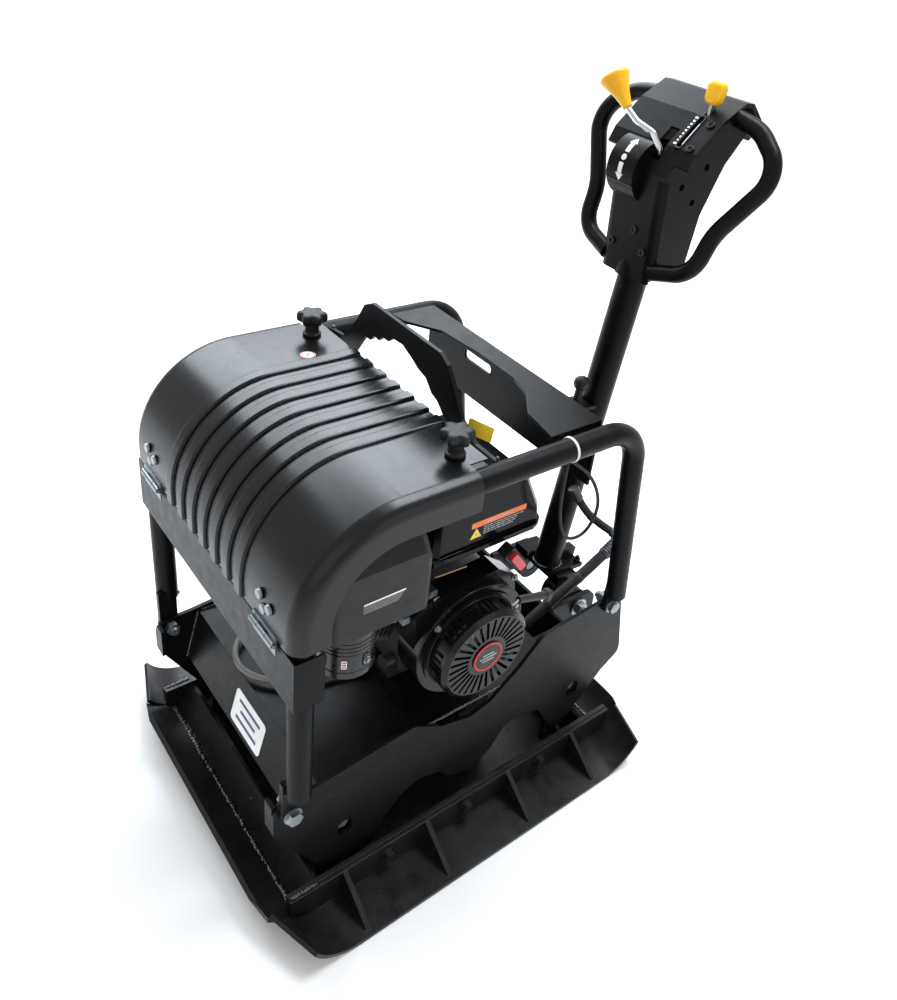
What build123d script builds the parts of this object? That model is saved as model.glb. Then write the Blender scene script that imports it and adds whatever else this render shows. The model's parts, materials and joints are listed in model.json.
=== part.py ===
from build123d import *
from math import atan2, cos, degrees, hypot, pi, radians, sin, sqrt
import os

# A reversible plate compactor with a petrol engine and a swinging drawbar. All lengths are millimetres.
# Origin: the middle of the base plate's sole. +Z is up, the engine's starter side is +X, and the
# operator stands at +Y, so the hooded front of the machine looks along -Y.

# Base plate and its bolted wings
PLATE_LENGTH = 900.0
PLATE_THICKNESS = 10.0
SOLE_HALF_WIDTH = 285.0
NOSE_HEIGHT = 58.0
NOSE_RADIUS = 150.0
CORNER_CUT_X = 50.0
CORNER_CUT_Y = 12.0
RAIL_THICKNESS = 10.0
RAIL_TOP = 76.0
RAIL_HALF_LENGTH = 398.0
WING_THICKNESS = 8.0
WING_OUTER_X = 391.0
WING_TIP_Y = 404.0
WING_ROOT_Y = 437.0
WING_BEND_RADIUS = 110.0
WING_TIP_HEIGHT = 60.0
RIB_PLACES = (-288.0, -105.0, 100.0, 282.0)
RIB_THICKNESS = 10.0
RIB_OUTER_X = 378.0
WING_BOLT_PLACES = (-195.0, -8.0, 190.0)
WING_BOLT_HEIGHT = 46.0
WING_BOLT_RADIUS = 8.0

# Deck: the sprung upper frame
SIDE_OUTER_X = 258.0
SIDE_THICKNESS = 8.0
SIDE_INNER_X = SIDE_OUTER_X - SIDE_THICKNESS
FLOOR_TOP = 300.0
FLOOR_THICKNESS = 6.0
ENGINE_BED_TOP = 333.0
FRONT_BUFFER = (-271.0, 147.0)
REAR_BUFFER = (296.0, 172.0)
BUFFER_RADIUS = 36.0
BUFFER_OUTER_X = 225.0
BUFFER_INNER_X = 165.0
BRACKET_THICKNESS = 10.0
BUFFER_BOLT_RADIUS = 8.0

# Tube frame
TUBE_X = 278.0
TUBE_RADIUS = 21.0
TUBE_WALL = 3.0
TUBE_FRONT_Y = -377.0
TUBE_TOP_Z = 868.0
TUBE_FRONT_BEND = 158.0
TUBE_REAR_BEND = 85.0
TUBE_REAR_TOP = (285.0, 868.0)
TUBE_REAR_FOOT = (342.0, 440.0)
FRONT_BOLT = (-384.0, 293.0)
REAR_BOLT = (347.0, 401.0)
FRAME_BOLT_RADIUS = 8.0
FRONT_FOOT_Z = 345.0
TAB_THICKNESS = 12.0

# Hood
HOOD_SHEET = 2.5
HOOD_FRONT_Y = -404.0
HOOD_TOP_Z = 895.0
HOOD_BEND = 185.0
HOOD_HALF_WIDTH = 305.0
HOOD_EDGE_RADIUS = 27.0
HOOD_REAR_Y = -48.0
HOOD_SIDE_REAR_Y = -84.0
HOOD_BOTTOM_Z = 684.0
HOOD_SKIRT = 62.0
HOOD_RIB_PITCH = 44.0
HOOD_RIB_COUNT = 7
HOOD_RIB_HALF = 13.0
HOOD_RIB_RISE = 5.0
HOOD_RIB_ROUNDING = 4.5
HINGE_Y = -409.0
HINGE_Z = 677.0
HINGE_PLACES = (-218.0, 218.0)
KNOB_X = 229.0
KNOB_Y = -88.0

# Engine
CRANK_Y = -8.0
CRANK_Z = 465.0
RECOIL_FACE_X = 288.0
RECOIL_RADIUS = 97.0
TANK_FACE_X = 215.0

# Exciter
SHAFT_Y = 52.0
SHAFT_Z = 100.0
SHAFT_RADIUS = 22.0
BEARING_RADIUS = 38.0
BELT_X = -205.0
EXCITER_PULLEY_RADIUS = 52.0
CLUTCH_RADIUS = 62.0

# Drawbar
PIVOT_Y = 432.0
PIVOT_Z = 232.0
PIVOT_PIN_RADIUS = 15.0
COLUMN_TILT = 7.8
COLUMN_RADIUS = 32.0
COLUMN_WALL = 5.0
COLUMN_SETBACK = -17.0
COLUMN_TOP = 846.0

FIT_GAP = 0.5


# ---------------------------------------------------------------- small helpers
def slab(x0, x1, y0, y1, z0, z1):
    """A box between two corners."""
    size = (x1 - x0, y1 - y0, z1 - z0)
    middle = ((x0 + x1) / 2, (y0 + y1) / 2, (z0 + z1) / 2)
    return Pos(*middle) * Box(*size)


def rod_x(x0, x1, y, z, radius):
    return Pos((x0 + x1) / 2, y, z) * Rot(0, 90, 0) * Cylinder(radius, x1 - x0)


def rod_y(x, y0, y1, z, radius):
    return Pos(x, (y0 + y1) / 2, z) * Rot(90, 0, 0) * Cylinder(radius, y1 - y0)


def rod_z(x, y, z0, z1, radius):
    return Pos(x, y, (z0 + z1) / 2) * Cylinder(radius, z1 - z0)


def outline_yz(wire, x0, x1):
    """A closed outline drawn in (y, z), as thick as x0 to x1."""
    return extrude(Plane.YZ.offset(x0) * make_face(wire), amount=x1 - x0)


def plate_yz(points, x0, x1):
    return outline_yz(Polyline(*points, close=True), x0, x1)


def plate_xz(points, y0, y1):
    """A closed outline drawn in (x, z), as thick as y0 to y1."""
    plane = Plane(origin=(0, y1, 0), x_dir=(1, 0, 0), z_dir=(0, -1, 0))
    return extrude(plane * make_face(Polyline(*points, close=True)), amount=y1 - y0)


def plate_xy(points, z0, z1):
    """A closed outline drawn in (x, y), as thick as z0 to z1."""
    return extrude(Plane.XY.offset(z0) * make_face(Polyline(*points, close=True)), amount=z1 - z0)


def mirrored(shape):
    """The same piece on the machine's other side."""
    return mirror(shape, about=Plane.YZ)


def solid_sweep(path, radius):
    section = Plane(origin=path @ 0, z_dir=path % 0) * Circle(radius)
    return sweep(section, path=path)


def pipe(points, radius, bends, bore=0.0):
    """A round bar, or a tube, along straight runs joined by arcs."""
    path = FilletPolyline(*points, radius=bends)
    bar = solid_sweep(path, radius)
    return bar - solid_sweep(path, bore) if bore else bar


def hexagon_x(x0, x1, y, z, across_corners):
    face = Plane.YZ.offset(x0) * (Pos(y, z) * RegularPolygon(across_corners, 6))
    return extrude(face, amount=x1 - x0)


def hexagon_z(x, y, z0, z1, across_corners):
    return extrude(Plane.XY.offset(z0) * (Pos(x, y) * RegularPolygon(across_corners, 6)), amount=z1 - z0)


def bolt_x(head_x, tip_x, y, z, radius):
    """A hex bolt along X with a washer under its head and a nut near its tip."""
    way = 1 if head_x > tip_x else -1
    washer = rod_x(*sorted((head_x, head_x + 2.5 * way)), y, z, 2.1 * radius)
    head = hexagon_x(*sorted((head_x + 2.5 * way, head_x + 12.5 * way)), y, z, 1.75 * radius)
    return washer + head + rod_x(*sorted((head_x, tip_x)), y, z, radius)


def write(name, *solids):
    """One STEP file per node; a node may hold several loose solids."""
    shape = solids[0] if len(solids) == 1 else Compound(children=list(solids))
    pieces = list(shape.solids())
    export_step(pieces[0] if len(pieces) == 1 else Compound(pieces), f"parts/{name}.step")


# ---------------------------------------------------------------- lower mass
def nose_run(radius, height):
    """How far a bend of this radius runs forward to climb this height."""
    return sqrt(radius**2 - (radius - height) ** 2)


def turned_up_strip(radius, height, thickness, width):
    """A strip, bent up like a ski tip. Its bend starts at the origin and it runs along -Y, width along X."""
    run = nose_run(radius, height)
    angle = degrees(atan2(run, radius - height))
    inner = radius - thickness
    outer_arc = CenterArc((0, radius), radius, -90, -angle)
    inner_arc = CenterArc((0, radius), inner, -90, -angle)
    wire = outer_arc + Line(outer_arc @ 1, inner_arc @ 1) + inner_arc + Line(inner_arc @ 0, outer_arc @ 0)
    return extrude(Plane.YZ * make_face(wire), amount=width)


def centre_plate():
    run = nose_run(NOSE_RADIUS, NOSE_HEIGHT)
    bend_y = PLATE_LENGTH / 2 - run
    flat = slab(-SOLE_HALF_WIDTH, SOLE_HALF_WIDTH, -bend_y, bend_y, 0, PLATE_THICKNESS)
    strip = turned_up_strip(NOSE_RADIUS, NOSE_HEIGHT, PLATE_THICKNESS, 2 * SOLE_HALF_WIDTH)
    nose = Pos(-SOLE_HALF_WIDTH, -bend_y, 0) * strip
    plate = flat + nose + mirror(nose, about=Plane.XZ)
    for side in (-1, 1):
        for end in (-1, 1):
            tip = (side * SOLE_HALF_WIDTH, end * PLATE_LENGTH / 2)
            beyond = (side * (SOLE_HALF_WIDTH + 1), end * (PLATE_LENGTH / 2 + 1))
            corner = [
                (tip[0] - side * CORNER_CUT_X, beyond[1]),
                (tip[0] - side * CORNER_CUT_X, tip[1]),
                (beyond[0], tip[1] - end * CORNER_CUT_Y),
                beyond,
            ]
            plate -= plate_xy(corner, -1, NOSE_HEIGHT + PLATE_THICKNESS + 5)
    return plate


def base_plate():
    """Welded lower plate: sole, side rails, sloped cross walls, exciter pads and buffer posts."""
    plate = centre_plate()
    rail_inner = SOLE_HALF_WIDTH - RAIL_THICKNESS
    # The rail's lower edge sinks into the turned-up noses, so it has one outline for all its length.
    rail = [
        (-RAIL_HALF_LENGTH, 32), (-340, 5), (340, 5), (RAIL_HALF_LENGTH, 32),
        (RAIL_HALF_LENGTH, RAIL_TOP), (-RAIL_HALF_LENGTH, RAIL_TOP),
    ]
    for x0, x1 in ((rail_inner, SOLE_HALF_WIDTH), (-SOLE_HALF_WIDTH, -rail_inner)):
        plate += plate_yz(rail, x0, x1)
    for end in (-1, 1):
        wall = [(end * 380, 12), (end * 371, 8), (end * 332, 62), (end * 340, 66)]
        plate += plate_yz(wall, -rail_inner, rail_inner)
    for end in (-1, 1):
        plate += slab(-170, 170, *sorted((end * 105, end * 145)), PLATE_THICKNESS - 1, 22)
    for side in (-1, 1):
        for y, z in (FRONT_BUFFER, REAR_BUFFER):
            post = slab(*sorted((side * BUFFER_OUTER_X, side * (BUFFER_OUTER_X + BRACKET_THICKNESS))),
                        y - 42, y + 42, PLATE_THICKNESS - 1, z + 40)
            foot = plate_xz([(side * 235, 9), (side * 272, 9), (side * 235, 34)], y - 5, y + 5)
            inner_foot = plate_xz([(side * 225, 9), (side * 225, 90), (side * 150, 9)], y - 5, y + 5)
            plate += post + foot + inner_foot
            plate -= rod_x(*sorted((side * 220, side * 240)), y, z, BUFFER_BOLT_RADIUS + FIT_GAP)
        for y in WING_BOLT_PLACES:
            plate -= rod_x(*sorted((side * 270, side * 290)), y, WING_BOLT_HEIGHT, WING_BOLT_RADIUS + FIT_GAP)
    return plate


def wing():
    """The +X extension: flange against the rail, flat sole strip, ski tips and four ribs."""
    width = WING_OUTER_X - SOLE_HALF_WIDTH
    run = nose_run(WING_BEND_RADIUS, WING_TIP_HEIGHT)
    sweep_back = WING_ROOT_Y - WING_TIP_Y
    angle = degrees(atan2(sweep_back, width))
    bend_root = WING_ROOT_Y - run / cos(radians(angle))
    bend_tip = WING_TIP_Y - run / cos(radians(angle))
    flat = plate_xy(
        [(SOLE_HALF_WIDTH, -bend_root), (WING_OUTER_X, -bend_tip),
         (WING_OUTER_X, bend_tip), (SOLE_HALF_WIDTH, bend_root)], 0, WING_THICKNESS)
    long_strip = Pos(-200, 0, 0) * turned_up_strip(
        WING_BEND_RADIUS, WING_TIP_HEIGHT, WING_THICKNESS, width + 400)
    nose = Pos(SOLE_HALF_WIDTH, -bend_root, 0) * Rot(0, 0, angle) * long_strip
    nose &= slab(SOLE_HALF_WIDTH, WING_OUTER_X, -PLATE_LENGTH, 0, -1, 200)
    body = flat + nose + mirror(nose, about=Plane.XZ)
    flange_outer = SOLE_HALF_WIDTH + WING_THICKNESS
    flange = [
        (-RAIL_HALF_LENGTH, 38), (-345, 4), (345, 4), (RAIL_HALF_LENGTH, 38),
        (RAIL_HALF_LENGTH, RAIL_TOP - 2), (-RAIL_HALF_LENGTH, RAIL_TOP - 2),
    ]
    body += plate_yz(flange, SOLE_HALF_WIDTH, flange_outer)
    rib = [(flange_outer - 1, 4), (RIB_OUTER_X, 4), (RIB_OUTER_X, 12), (flange_outer - 1, RAIL_TOP - 3)]
    for y in RIB_PLACES:
        body += plate_xz(rib, y - RIB_THICKNESS / 2, y + RIB_THICKNESS / 2)
    for y in WING_BOLT_PLACES:
        body -= rod_x(280, 300, y, WING_BOLT_HEIGHT, WING_BOLT_RADIUS + FIT_GAP)
    return body


def wing_bolts():
    """Bolts and nuts that hold the two wings on the rails."""
    pieces = []
    inner = SOLE_HALF_WIDTH - RAIL_THICKNESS
    for y in WING_BOLT_PLACES:
        bolt = bolt_x(SOLE_HALF_WIDTH + WING_THICKNESS, inner - 8, y, WING_BOLT_HEIGHT, WING_BOLT_RADIUS)
        nut = hexagon_x(inner - 8, inner, y, WING_BOLT_HEIGHT, 1.75 * WING_BOLT_RADIUS)
        pieces.append(bolt + nut)
    return pieces + [mirrored(piece) for piece in pieces]


def buffer_bolts():
    """The rubber buffers' outer bolts."""
    pieces = []
    outer = BUFFER_OUTER_X + BRACKET_THICKNESS
    for y, z in (FRONT_BUFFER, REAR_BUFFER):
        pieces.append(bolt_x(outer, BUFFER_OUTER_X - 18, y, z, BUFFER_BOLT_RADIUS))
    return pieces + [mirrored(piece) for piece in pieces]


def rubber_buffers():
    """Four bonded rubber cylinders, each between a base post and a deck bracket."""
    pieces = []
    for y, z in (FRONT_BUFFER, REAR_BUFFER):
        body = rod_x(BUFFER_INNER_X, BUFFER_OUTER_X, y, z, BUFFER_RADIUS)
        groove = rod_x(BUFFER_INNER_X + 14, BUFFER_OUTER_X - 14, y, z, BUFFER_RADIUS + 1)
        waist = rod_x(BUFFER_INNER_X + 14, BUFFER_OUTER_X - 14, y, z, BUFFER_RADIUS - 5)
        hole = rod_x(BUFFER_OUTER_X - 20, BUFFER_OUTER_X + 1, y, z, BUFFER_BOLT_RADIUS + FIT_GAP)
        inner_hole = rod_x(BUFFER_INNER_X - 1, BUFFER_INNER_X + 20, y, z, BUFFER_BOLT_RADIUS + 10)
        pieces.append(body - groove + waist - hole - inner_hole)
    return pieces + [mirrored(piece) for piece in pieces]


# ---------------------------------------------------------------- exciter
def exciter_housing():
    """Cast box with a round lobe over each shaft, bored through for the bearings."""
    length = 300.0
    box = slab(-length / 2, length / 2, -150, 150, 22, 165)
    lobes = [rod_x(-length / 2, length / 2, side * SHAFT_Y, SHAFT_Z, 78) for side in (-1, 1)]
    trim = slab(-length / 2, length / 2, -153, 153, 22, 178)
    body = (box + lobes[0] + lobes[1]) & trim
    body = fillet(body.edges().filter_by(Axis.X).sort_by(Axis.Z)[-2:], 6)
    body -= slab(-length / 2 + 22, length / 2 - 22, -138, 138, 34, 158)
    for side in (-1, 1):
        body -= rod_x(-length, length, side * SHAFT_Y, SHAFT_Z, BEARING_RADIUS)
        body += rod_z(side * 60, side * 118, 160, 180, 14) - rod_z(side * 60, side * 118, 173, 181, 8)
    for x in (-156, 156):
        for y in (-125, 125):
            body += slab(min(x, x * 0.94), max(x, x * 0.94), y - 18, y + 18, 22, 40)
    return body


def exciter_end_caps():
    """Four screwed covers; the front left one lets the driven shaft through."""
    caps = []
    for end in (-1, 1):
        for side in (-1, 1):
            y = side * SHAFT_Y
            cap = rod_x(*sorted((end * 150, end * 164)), y, SHAFT_Z, 51)
            cap += rod_x(*sorted((end * 143, end * 151)), y, SHAFT_Z, BEARING_RADIUS - FIT_GAP)
            cap -= rod_x(*sorted((end * 130, end * 158)), y, SHAFT_Z, 28)
            if end == -1 and side == -1:
                cap -= rod_x(-170, -120, y, SHAFT_Z, SHAFT_RADIUS + 1)
            for i in range(6):
                angle = radians(30 + 60 * i)
                screw_z = SHAFT_Z + 43 * sin(angle)
                cap += hexagon_x(*sorted((end * 163, end * 170)), y + 43 * cos(angle), screw_z, 7)
            caps.append(cap)
    return caps


def exciter_bearings():
    """Four plain bearing rings pressed into the housing's end walls."""
    rings = []
    for x in (-135, 135):
        for side in (-1, 1):
            ring = rod_x(x - 7, x + 7, side * SHAFT_Y, SHAFT_Z, BEARING_RADIUS - 0.02)
            rings.append(ring - rod_x(x - 8, x + 8, side * SHAFT_Y, SHAFT_Z, SHAFT_RADIUS + 0.05))
    return rings


def exciter_shaft(y, left_end):
    """Shaft with a half-disc eccentric weight hanging below it at rest."""
    bar = rod_x(left_end, 146, y, SHAFT_Z, SHAFT_RADIUS)
    weight = rod_x(-85, 45, y, SHAFT_Z, 46)
    upper = slab(-90, 50, y - 60, y + 60, SHAFT_Z + 4, SHAFT_Z + 60)
    return bar + (weight - upper)


GEAR_TEETH = 30
GEAR_PITCH_RADIUS = SHAFT_Y


def exciter_gear(y, phase):
    """Spur gear with straight-flanked teeth; the two gears mesh on the machine's centre line."""
    addendum = 2 * GEAR_PITCH_RADIUS / GEAR_TEETH
    tip = GEAR_PITCH_RADIUS + 0.86 * addendum
    root = GEAR_PITCH_RADIUS - 1.1 * addendum
    half_root = 0.275 * 2 * pi / GEAR_TEETH
    half_tip = 0.115 * 2 * pi / GEAR_TEETH
    points = []
    for i in range(GEAR_TEETH):
        middle = phase + 2 * pi * i / GEAR_TEETH
        for radius, turn in ((root, -half_root), (tip, -half_tip), (tip, half_tip), (root, half_root)):
            points.append((y + radius * cos(middle + turn), SHAFT_Z + radius * sin(middle + turn)))
    return plate_yz(points, 62, 96) - rod_x(60, 100, y, SHAFT_Z, SHAFT_RADIUS)


def belt_pulley(x, y, z, radius, hub_radius, bore):
    """Double V-groove pulley, turned in one piece, with a web and a hub."""
    wheel = rod_x(x - 22, x + 22, y, z, radius)
    for groove in (-11, 11):
        for step in range(3):
            half = 8 - 2 * step
            depth = radius - 4 * (step + 1)
            ring = rod_x(x + groove - half, x + groove + half, y, z, radius + 1)
            wheel -= ring - rod_x(x + groove - half - 1, x + groove + half + 1, y, z, depth)
    wheel -= rod_x(x + 8, x + 23, y, z, radius - 20) - rod_x(x + 7, x + 24, y, z, hub_radius)
    return wheel - rod_x(x - 40, x + 40, y, z, bore)


# ---------------------------------------------------------------- deck
def deck_side():
    """The +X side plate: long lower edge with two arches, upper edge dipped under the starter."""
    top = [(-413, 303), (-339, 306), (-132, 327), (-72, 288), (2, 268), (50, 280), (118, 336),
           (168, 390), (213, 399), (330, 408), (395, 383), (431, 216), (381, 180)]
    lower = [(270, 54), (236, 102), (198, 164), (143, 189), (100, 175), (72, 129), (24, 98),
             (-37, 119), (-57, 149), (-106, 164), (-151, 147), (-182, 111), (-207, 50), (-267, 47),
             (-320, 72), (-413, 233)]
    plate = plate_yz(top + lower, SIDE_INNER_X, SIDE_OUTER_X)
    soft = [e for e in plate.edges().filter_by(Axis.X)]
    plate = soften(plate, soft)
    for y, z in (FRONT_BUFFER, REAR_BUFFER):
        window = outline_window(y, z, 30, 40)
        plate -= extrude(Plane.YZ.offset(SIDE_INNER_X - 1) * window, amount=SIDE_THICKNESS + 2)
    lip = slab(SIDE_INNER_X - 24, SIDE_INNER_X + 1, -413, -405, 236, 300)
    plate += lip
    for y, z in (FRONT_BOLT, REAR_BOLT):
        height = z if z > FLOOR_TOP else z - 8
        plate -= rod_x(SIDE_INNER_X - 5, SIDE_OUTER_X + 5, y, height, FRAME_BOLT_RADIUS + FIT_GAP)
    return plate


def outline_window(y, z, width, height):
    return Pos(y, z) * RectangleRounded(width, height, 12)


def soften(plate, edges):
    """Round the outline's corners, each by as much as its neighbours allow."""
    for radius in (26, 12, 5):
        left = []
        for edge in edges:
            middle = edge.center()
            match = [e for e in plate.edges().filter_by(Axis.X) if (e.center() - middle).length < 0.01]
            if not match:
                continue
            try:
                plate = fillet(match[0], radius)
            except Exception:
                left.append(edge)
        edges = left
    return plate


def deck_front_plate():
    """Sloping front wall under the floor's leading edge."""
    return plate_yz([(-355, 188), (-349, 188), (-320, 300), (-326, 300)], -SIDE_INNER_X, SIDE_INNER_X)


def deck_floor():
    """Floor with the sloping front wall, the buffer brackets, the engine rails and a slot for the belt."""
    floor = slab(-SIDE_INNER_X, SIDE_INNER_X, -325, 222, FLOOR_TOP - FLOOR_THICKNESS, FLOOR_TOP)
    floor += slab(-SIDE_INNER_X, SIDE_INNER_X, 216, 222, 200, FLOOR_TOP)
    floor -= slab(BELT_X - 30, BELT_X + 30, -140, 70, FLOOR_TOP - 10, FLOOR_TOP + 5)
    inner = BUFFER_INNER_X - BRACKET_THICKNESS
    for side in (-1, 1):
        x0, x1 = sorted((side * inner, side * BUFFER_INNER_X))
        y, z = FRONT_BUFFER
        front = slab(x0, x1, y - 42, y + 42, z - 40, FLOOR_TOP - 3)
        floor += front - rod_x(x0 - 1, x1 + 1, y, z, BUFFER_BOLT_RADIUS + FIT_GAP)
        y, z = REAR_BUFFER
        rear = slab(x0, x1, 219, 340, z - 40, z + 88)
        floor += rear - rod_x(x0 - 1, x1 + 1, y, z, BUFFER_BOLT_RADIUS + FIT_GAP)
    for y in (CRANK_Y - 82, CRANK_Y + 82):
        floor += engine_rail(y)
    floor -= slab(106, 148, 210, 230, 232, 288)
    return floor + deck_front_plate()


def engine_rail(y):
    """Folded rail across the deck that carries two of the engine's feet."""
    rail = slab(-120, 190, y - 30, y + 30, FLOOR_TOP - 1, ENGINE_BED_TOP)
    return rail - slab(-121, 191, y - 25, y + 25, FLOOR_TOP - 2, ENGINE_BED_TOP - 5)


def deck_rear_plate():
    """Low cross wall between the side plates, with the two ears that hold the drawbar's pin."""
    plate = slab(-SIDE_INNER_X, SIDE_INNER_X, 340, 348, 150, 258)
    for side in (-1, 1):
        x0, x1 = sorted((side * 104, side * 116))
        plate += ear(x0, x1)
    return plate


def ear(x0, x1):
    """A rounded plate reaching back round the drawbar's pin."""
    blade = slab(x0, x1, 346, 484, 186, 264)
    rear_corners = blade.edges().filter_by(Axis.X).sort_by(Axis.Y)[-2:]
    blade = fillet(rear_corners, 30)
    return blade - rod_x(x0 - 1, x1 + 1, PIVOT_Y, PIVOT_Z, PIVOT_PIN_RADIUS)


def outline_hole_y(x, z, width, height, y0, y1):
    plane = Plane(origin=(x, y1, z), x_dir=(1, 0, 0), z_dir=(0, -1, 0))
    return extrude(plane * RectangleRounded(width, height, 0.4 * min(width, height)), amount=y1 - y0)


def frame_tube():
    """The +X frame tube: front leg, run under the hood's edge, rear leg, and a flat tab at each foot."""
    foot_y, foot_z = TUBE_REAR_FOOT
    points = [
        (TUBE_X, TUBE_FRONT_Y, FRONT_FOOT_Z), (TUBE_X, TUBE_FRONT_Y, TUBE_TOP_Z),
        (TUBE_X, *TUBE_REAR_TOP), (TUBE_X, foot_y, foot_z),
    ]
    tube = pipe(points, TUBE_RADIUS, [TUBE_FRONT_BEND, TUBE_REAR_BEND], TUBE_RADIUS - TUBE_WALL)
    x0 = SIDE_OUTER_X
    x1 = SIDE_OUTER_X + TAB_THICKNESS
    front_y, front_z = FRONT_BOLT
    front_z -= 8
    rear_y, rear_z = REAR_BOLT
    for y, z, top in ((front_y, front_z, FRONT_FOOT_Z + 25), (rear_y, rear_z, foot_z + 25)):
        tab = rod_x(x0, x1, y, z, 20) + slab(x0, x1, y - 18, y + 18, z, top)
        tab -= rod_x(x0 - 1, x1 + 1, y, z, FRAME_BOLT_RADIUS + FIT_GAP)
        tube += tab
    return tube + hood_lug()


def frame_bolts():
    pieces = []
    for y, z in ((FRONT_BOLT[0], FRONT_BOLT[1] - 8), REAR_BOLT):
        head = SIDE_OUTER_X + TAB_THICKNESS
        bolt = bolt_x(head, SIDE_INNER_X - 22, y, z, FRAME_BOLT_RADIUS)
        nut = hexagon_x(SIDE_INNER_X - 13, SIDE_INNER_X, y, z, 1.75 * FRAME_BOLT_RADIUS)
        pieces.append(bolt + nut)
    for y, z in (FRONT_BUFFER, REAR_BUFFER):
        inner = BUFFER_INNER_X - BRACKET_THICKNESS
        pieces.append(bolt_x(inner, BUFFER_INNER_X + 16, y, z, BUFFER_BOLT_RADIUS))
    return pieces + [mirrored(piece) for piece in pieces]


def front_cross_panel():
    """Folded sheet between the front legs, under the hood's hinges, wrapped round both tubes."""
    sheet = 3.0
    outer = TUBE_X + TUBE_RADIUS + sheet
    front = TUBE_FRONT_Y - TUBE_RADIUS
    panel = slab(-outer, outer, front - sheet, front, 572, 674)
    for side in (-1, 1):
        x0, x1 = sorted((side * (outer - sheet), side * outer))
        panel += slab(x0, x1, front - sheet, front + 48, 572, 672)
    return panel


def lifting_bail():
    """Plate arch between the frame tubes, scalloped underneath, for the crane hook."""
    left = [(-262, 884), (-212, 890), (-164, 947), (-142, 984), (-116, 998)]
    right = [(92, 998), (116, 985), (134, 962), (168, 908), (208, 884), (262, 884)]
    under = [(262, 868), (196, 866), (150, 874), (116, 892), (98, 908), (80, 914), (60, 934),
             (36, 940), (16, 950), (-14, 962), (-44, 960), (-58, 948), (-76, 948), (-88, 936), (-104, 938),
             (-116, 924), (-134, 924), (-166, 878), (-200, 866), (-262, 868)]
    arch = plate_xz(left + right + under, -32, -24)
    for side in (-1, 1):
        arch -= rod_y(side * TUBE_X, -60, 60, TUBE_TOP_Z, TUBE_RADIUS)
    return arch


def rear_cross_plate():
    """Folded sheet: a contoured top flange and a slotted web between the rear legs."""
    inner = TUBE_X - TUBE_RADIUS
    top = [(-inner, 108), (-218, 112), (-150, 156), (-40, 166), (70, 164), (120, 150), (180, 106),
           (inner, 92), (inner, 212), (-inner, 212)]
    sheet = plate_xy(top, 884, 890)
    web = slab(-inner, inner, 206, 212, 750, 888)
    return sheet + web - outline_hole_y(-88, 838, 84, 20, 200, 215)


# ---------------------------------------------------------------- hood
def hood_profile(inset, front_bottom, rear):
    """Closed (y, z) outline under the hood's skin, pulled in by inset."""
    front = HOOD_FRONT_Y + inset
    top = HOOD_TOP_Z - inset
    bend = HOOD_BEND - inset
    arc = CenterArc((HOOD_FRONT_Y + HOOD_BEND, HOOD_TOP_Z - HOOD_BEND), bend, 180, -90)
    return Line((front, front_bottom), arc @ 0) + arc + Line(arc @ 1, (rear, top)) + Line(
        (rear, top), (rear, front_bottom)) + Line((rear, front_bottom), (front, front_bottom))


def hood_block(inset, half_width, radius):
    """Solid under the hood's skin with its two long side edges rounded."""
    block = outline_yz(hood_profile(inset, HOOD_BOTTOM_Z, HOOD_REAR_Y + 60), -half_width, half_width)
    middle_y = HOOD_FRONT_Y + HOOD_BEND
    middle_z = HOOD_TOP_Z - HOOD_BEND
    rim = []
    for edge in block.edges():
        place = edge.center()
        on_side = abs(abs(place.X) - half_width) < 0.01
        reach = hypot(min(place.Y - middle_y, 0), max(place.Z - middle_z, 0))
        if on_side and reach > HOOD_BEND - inset - 25 and place.Z > HOOD_BOTTOM_Z + 5:
            rim.append(edge)
    rim = [e for e in rim if abs(e.center().Y - (HOOD_REAR_Y + 60)) > 1]
    return fillet(rim, radius)


def hood_ribs(inset, narrower, rounding):
    """The seven rounded bands that stand proud of the hood, or the hollows under them."""
    band = hood_block(inset - HOOD_RIB_RISE, HOOD_RIB_HALF - narrower, rounding)
    first = -HOOD_RIB_PITCH * (HOOD_RIB_COUNT - 1) / 2
    ribs = None
    for i in range(HOOD_RIB_COUNT):
        rib = Pos(first + i * HOOD_RIB_PITCH, 0, 0) * band
        ribs = rib if ribs is None else ribs + rib
    return ribs


def hood():
    """Pressed cover: rolled sides, seven ribs over the top and down the front, open below and behind."""
    outer = hood_block(0, HOOD_HALF_WIDTH, HOOD_EDGE_RADIUS)
    inner = hood_block(HOOD_SHEET, HOOD_HALF_WIDTH - HOOD_SHEET, HOOD_EDGE_RADIUS - HOOD_SHEET)
    shell = outer + hood_ribs(0, 0, HOOD_RIB_ROUNDING)
    shell -= inner + hood_ribs(HOOD_SHEET, HOOD_SHEET, HOOD_RIB_ROUNDING - HOOD_SHEET)
    # The skirts are only a band along the profile, and the rear edge steps forward at both sides.
    shell -= outline_yz(hood_profile(HOOD_SKIRT, HOOD_BOTTOM_Z - 5, HOOD_REAR_Y + 70), -400, 400)
    shell -= slab(-400, 400, HOOD_REAR_Y, HOOD_REAR_Y + 80, 600, 950)
    for side in (-1, 1):
        shell -= slab(*sorted((side * 262, side * 400)), HOOD_SIDE_REAR_Y, HOOD_REAR_Y + 80, 600, 950)
        shell -= rod_z(side * KNOB_X, KNOB_Y, HOOD_TOP_Z - 20, HOOD_TOP_Z + 20, 7)
    shell -= slab(-400, 400, -500, -300, 500, HOOD_BOTTOM_Z)
    return shell


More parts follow.
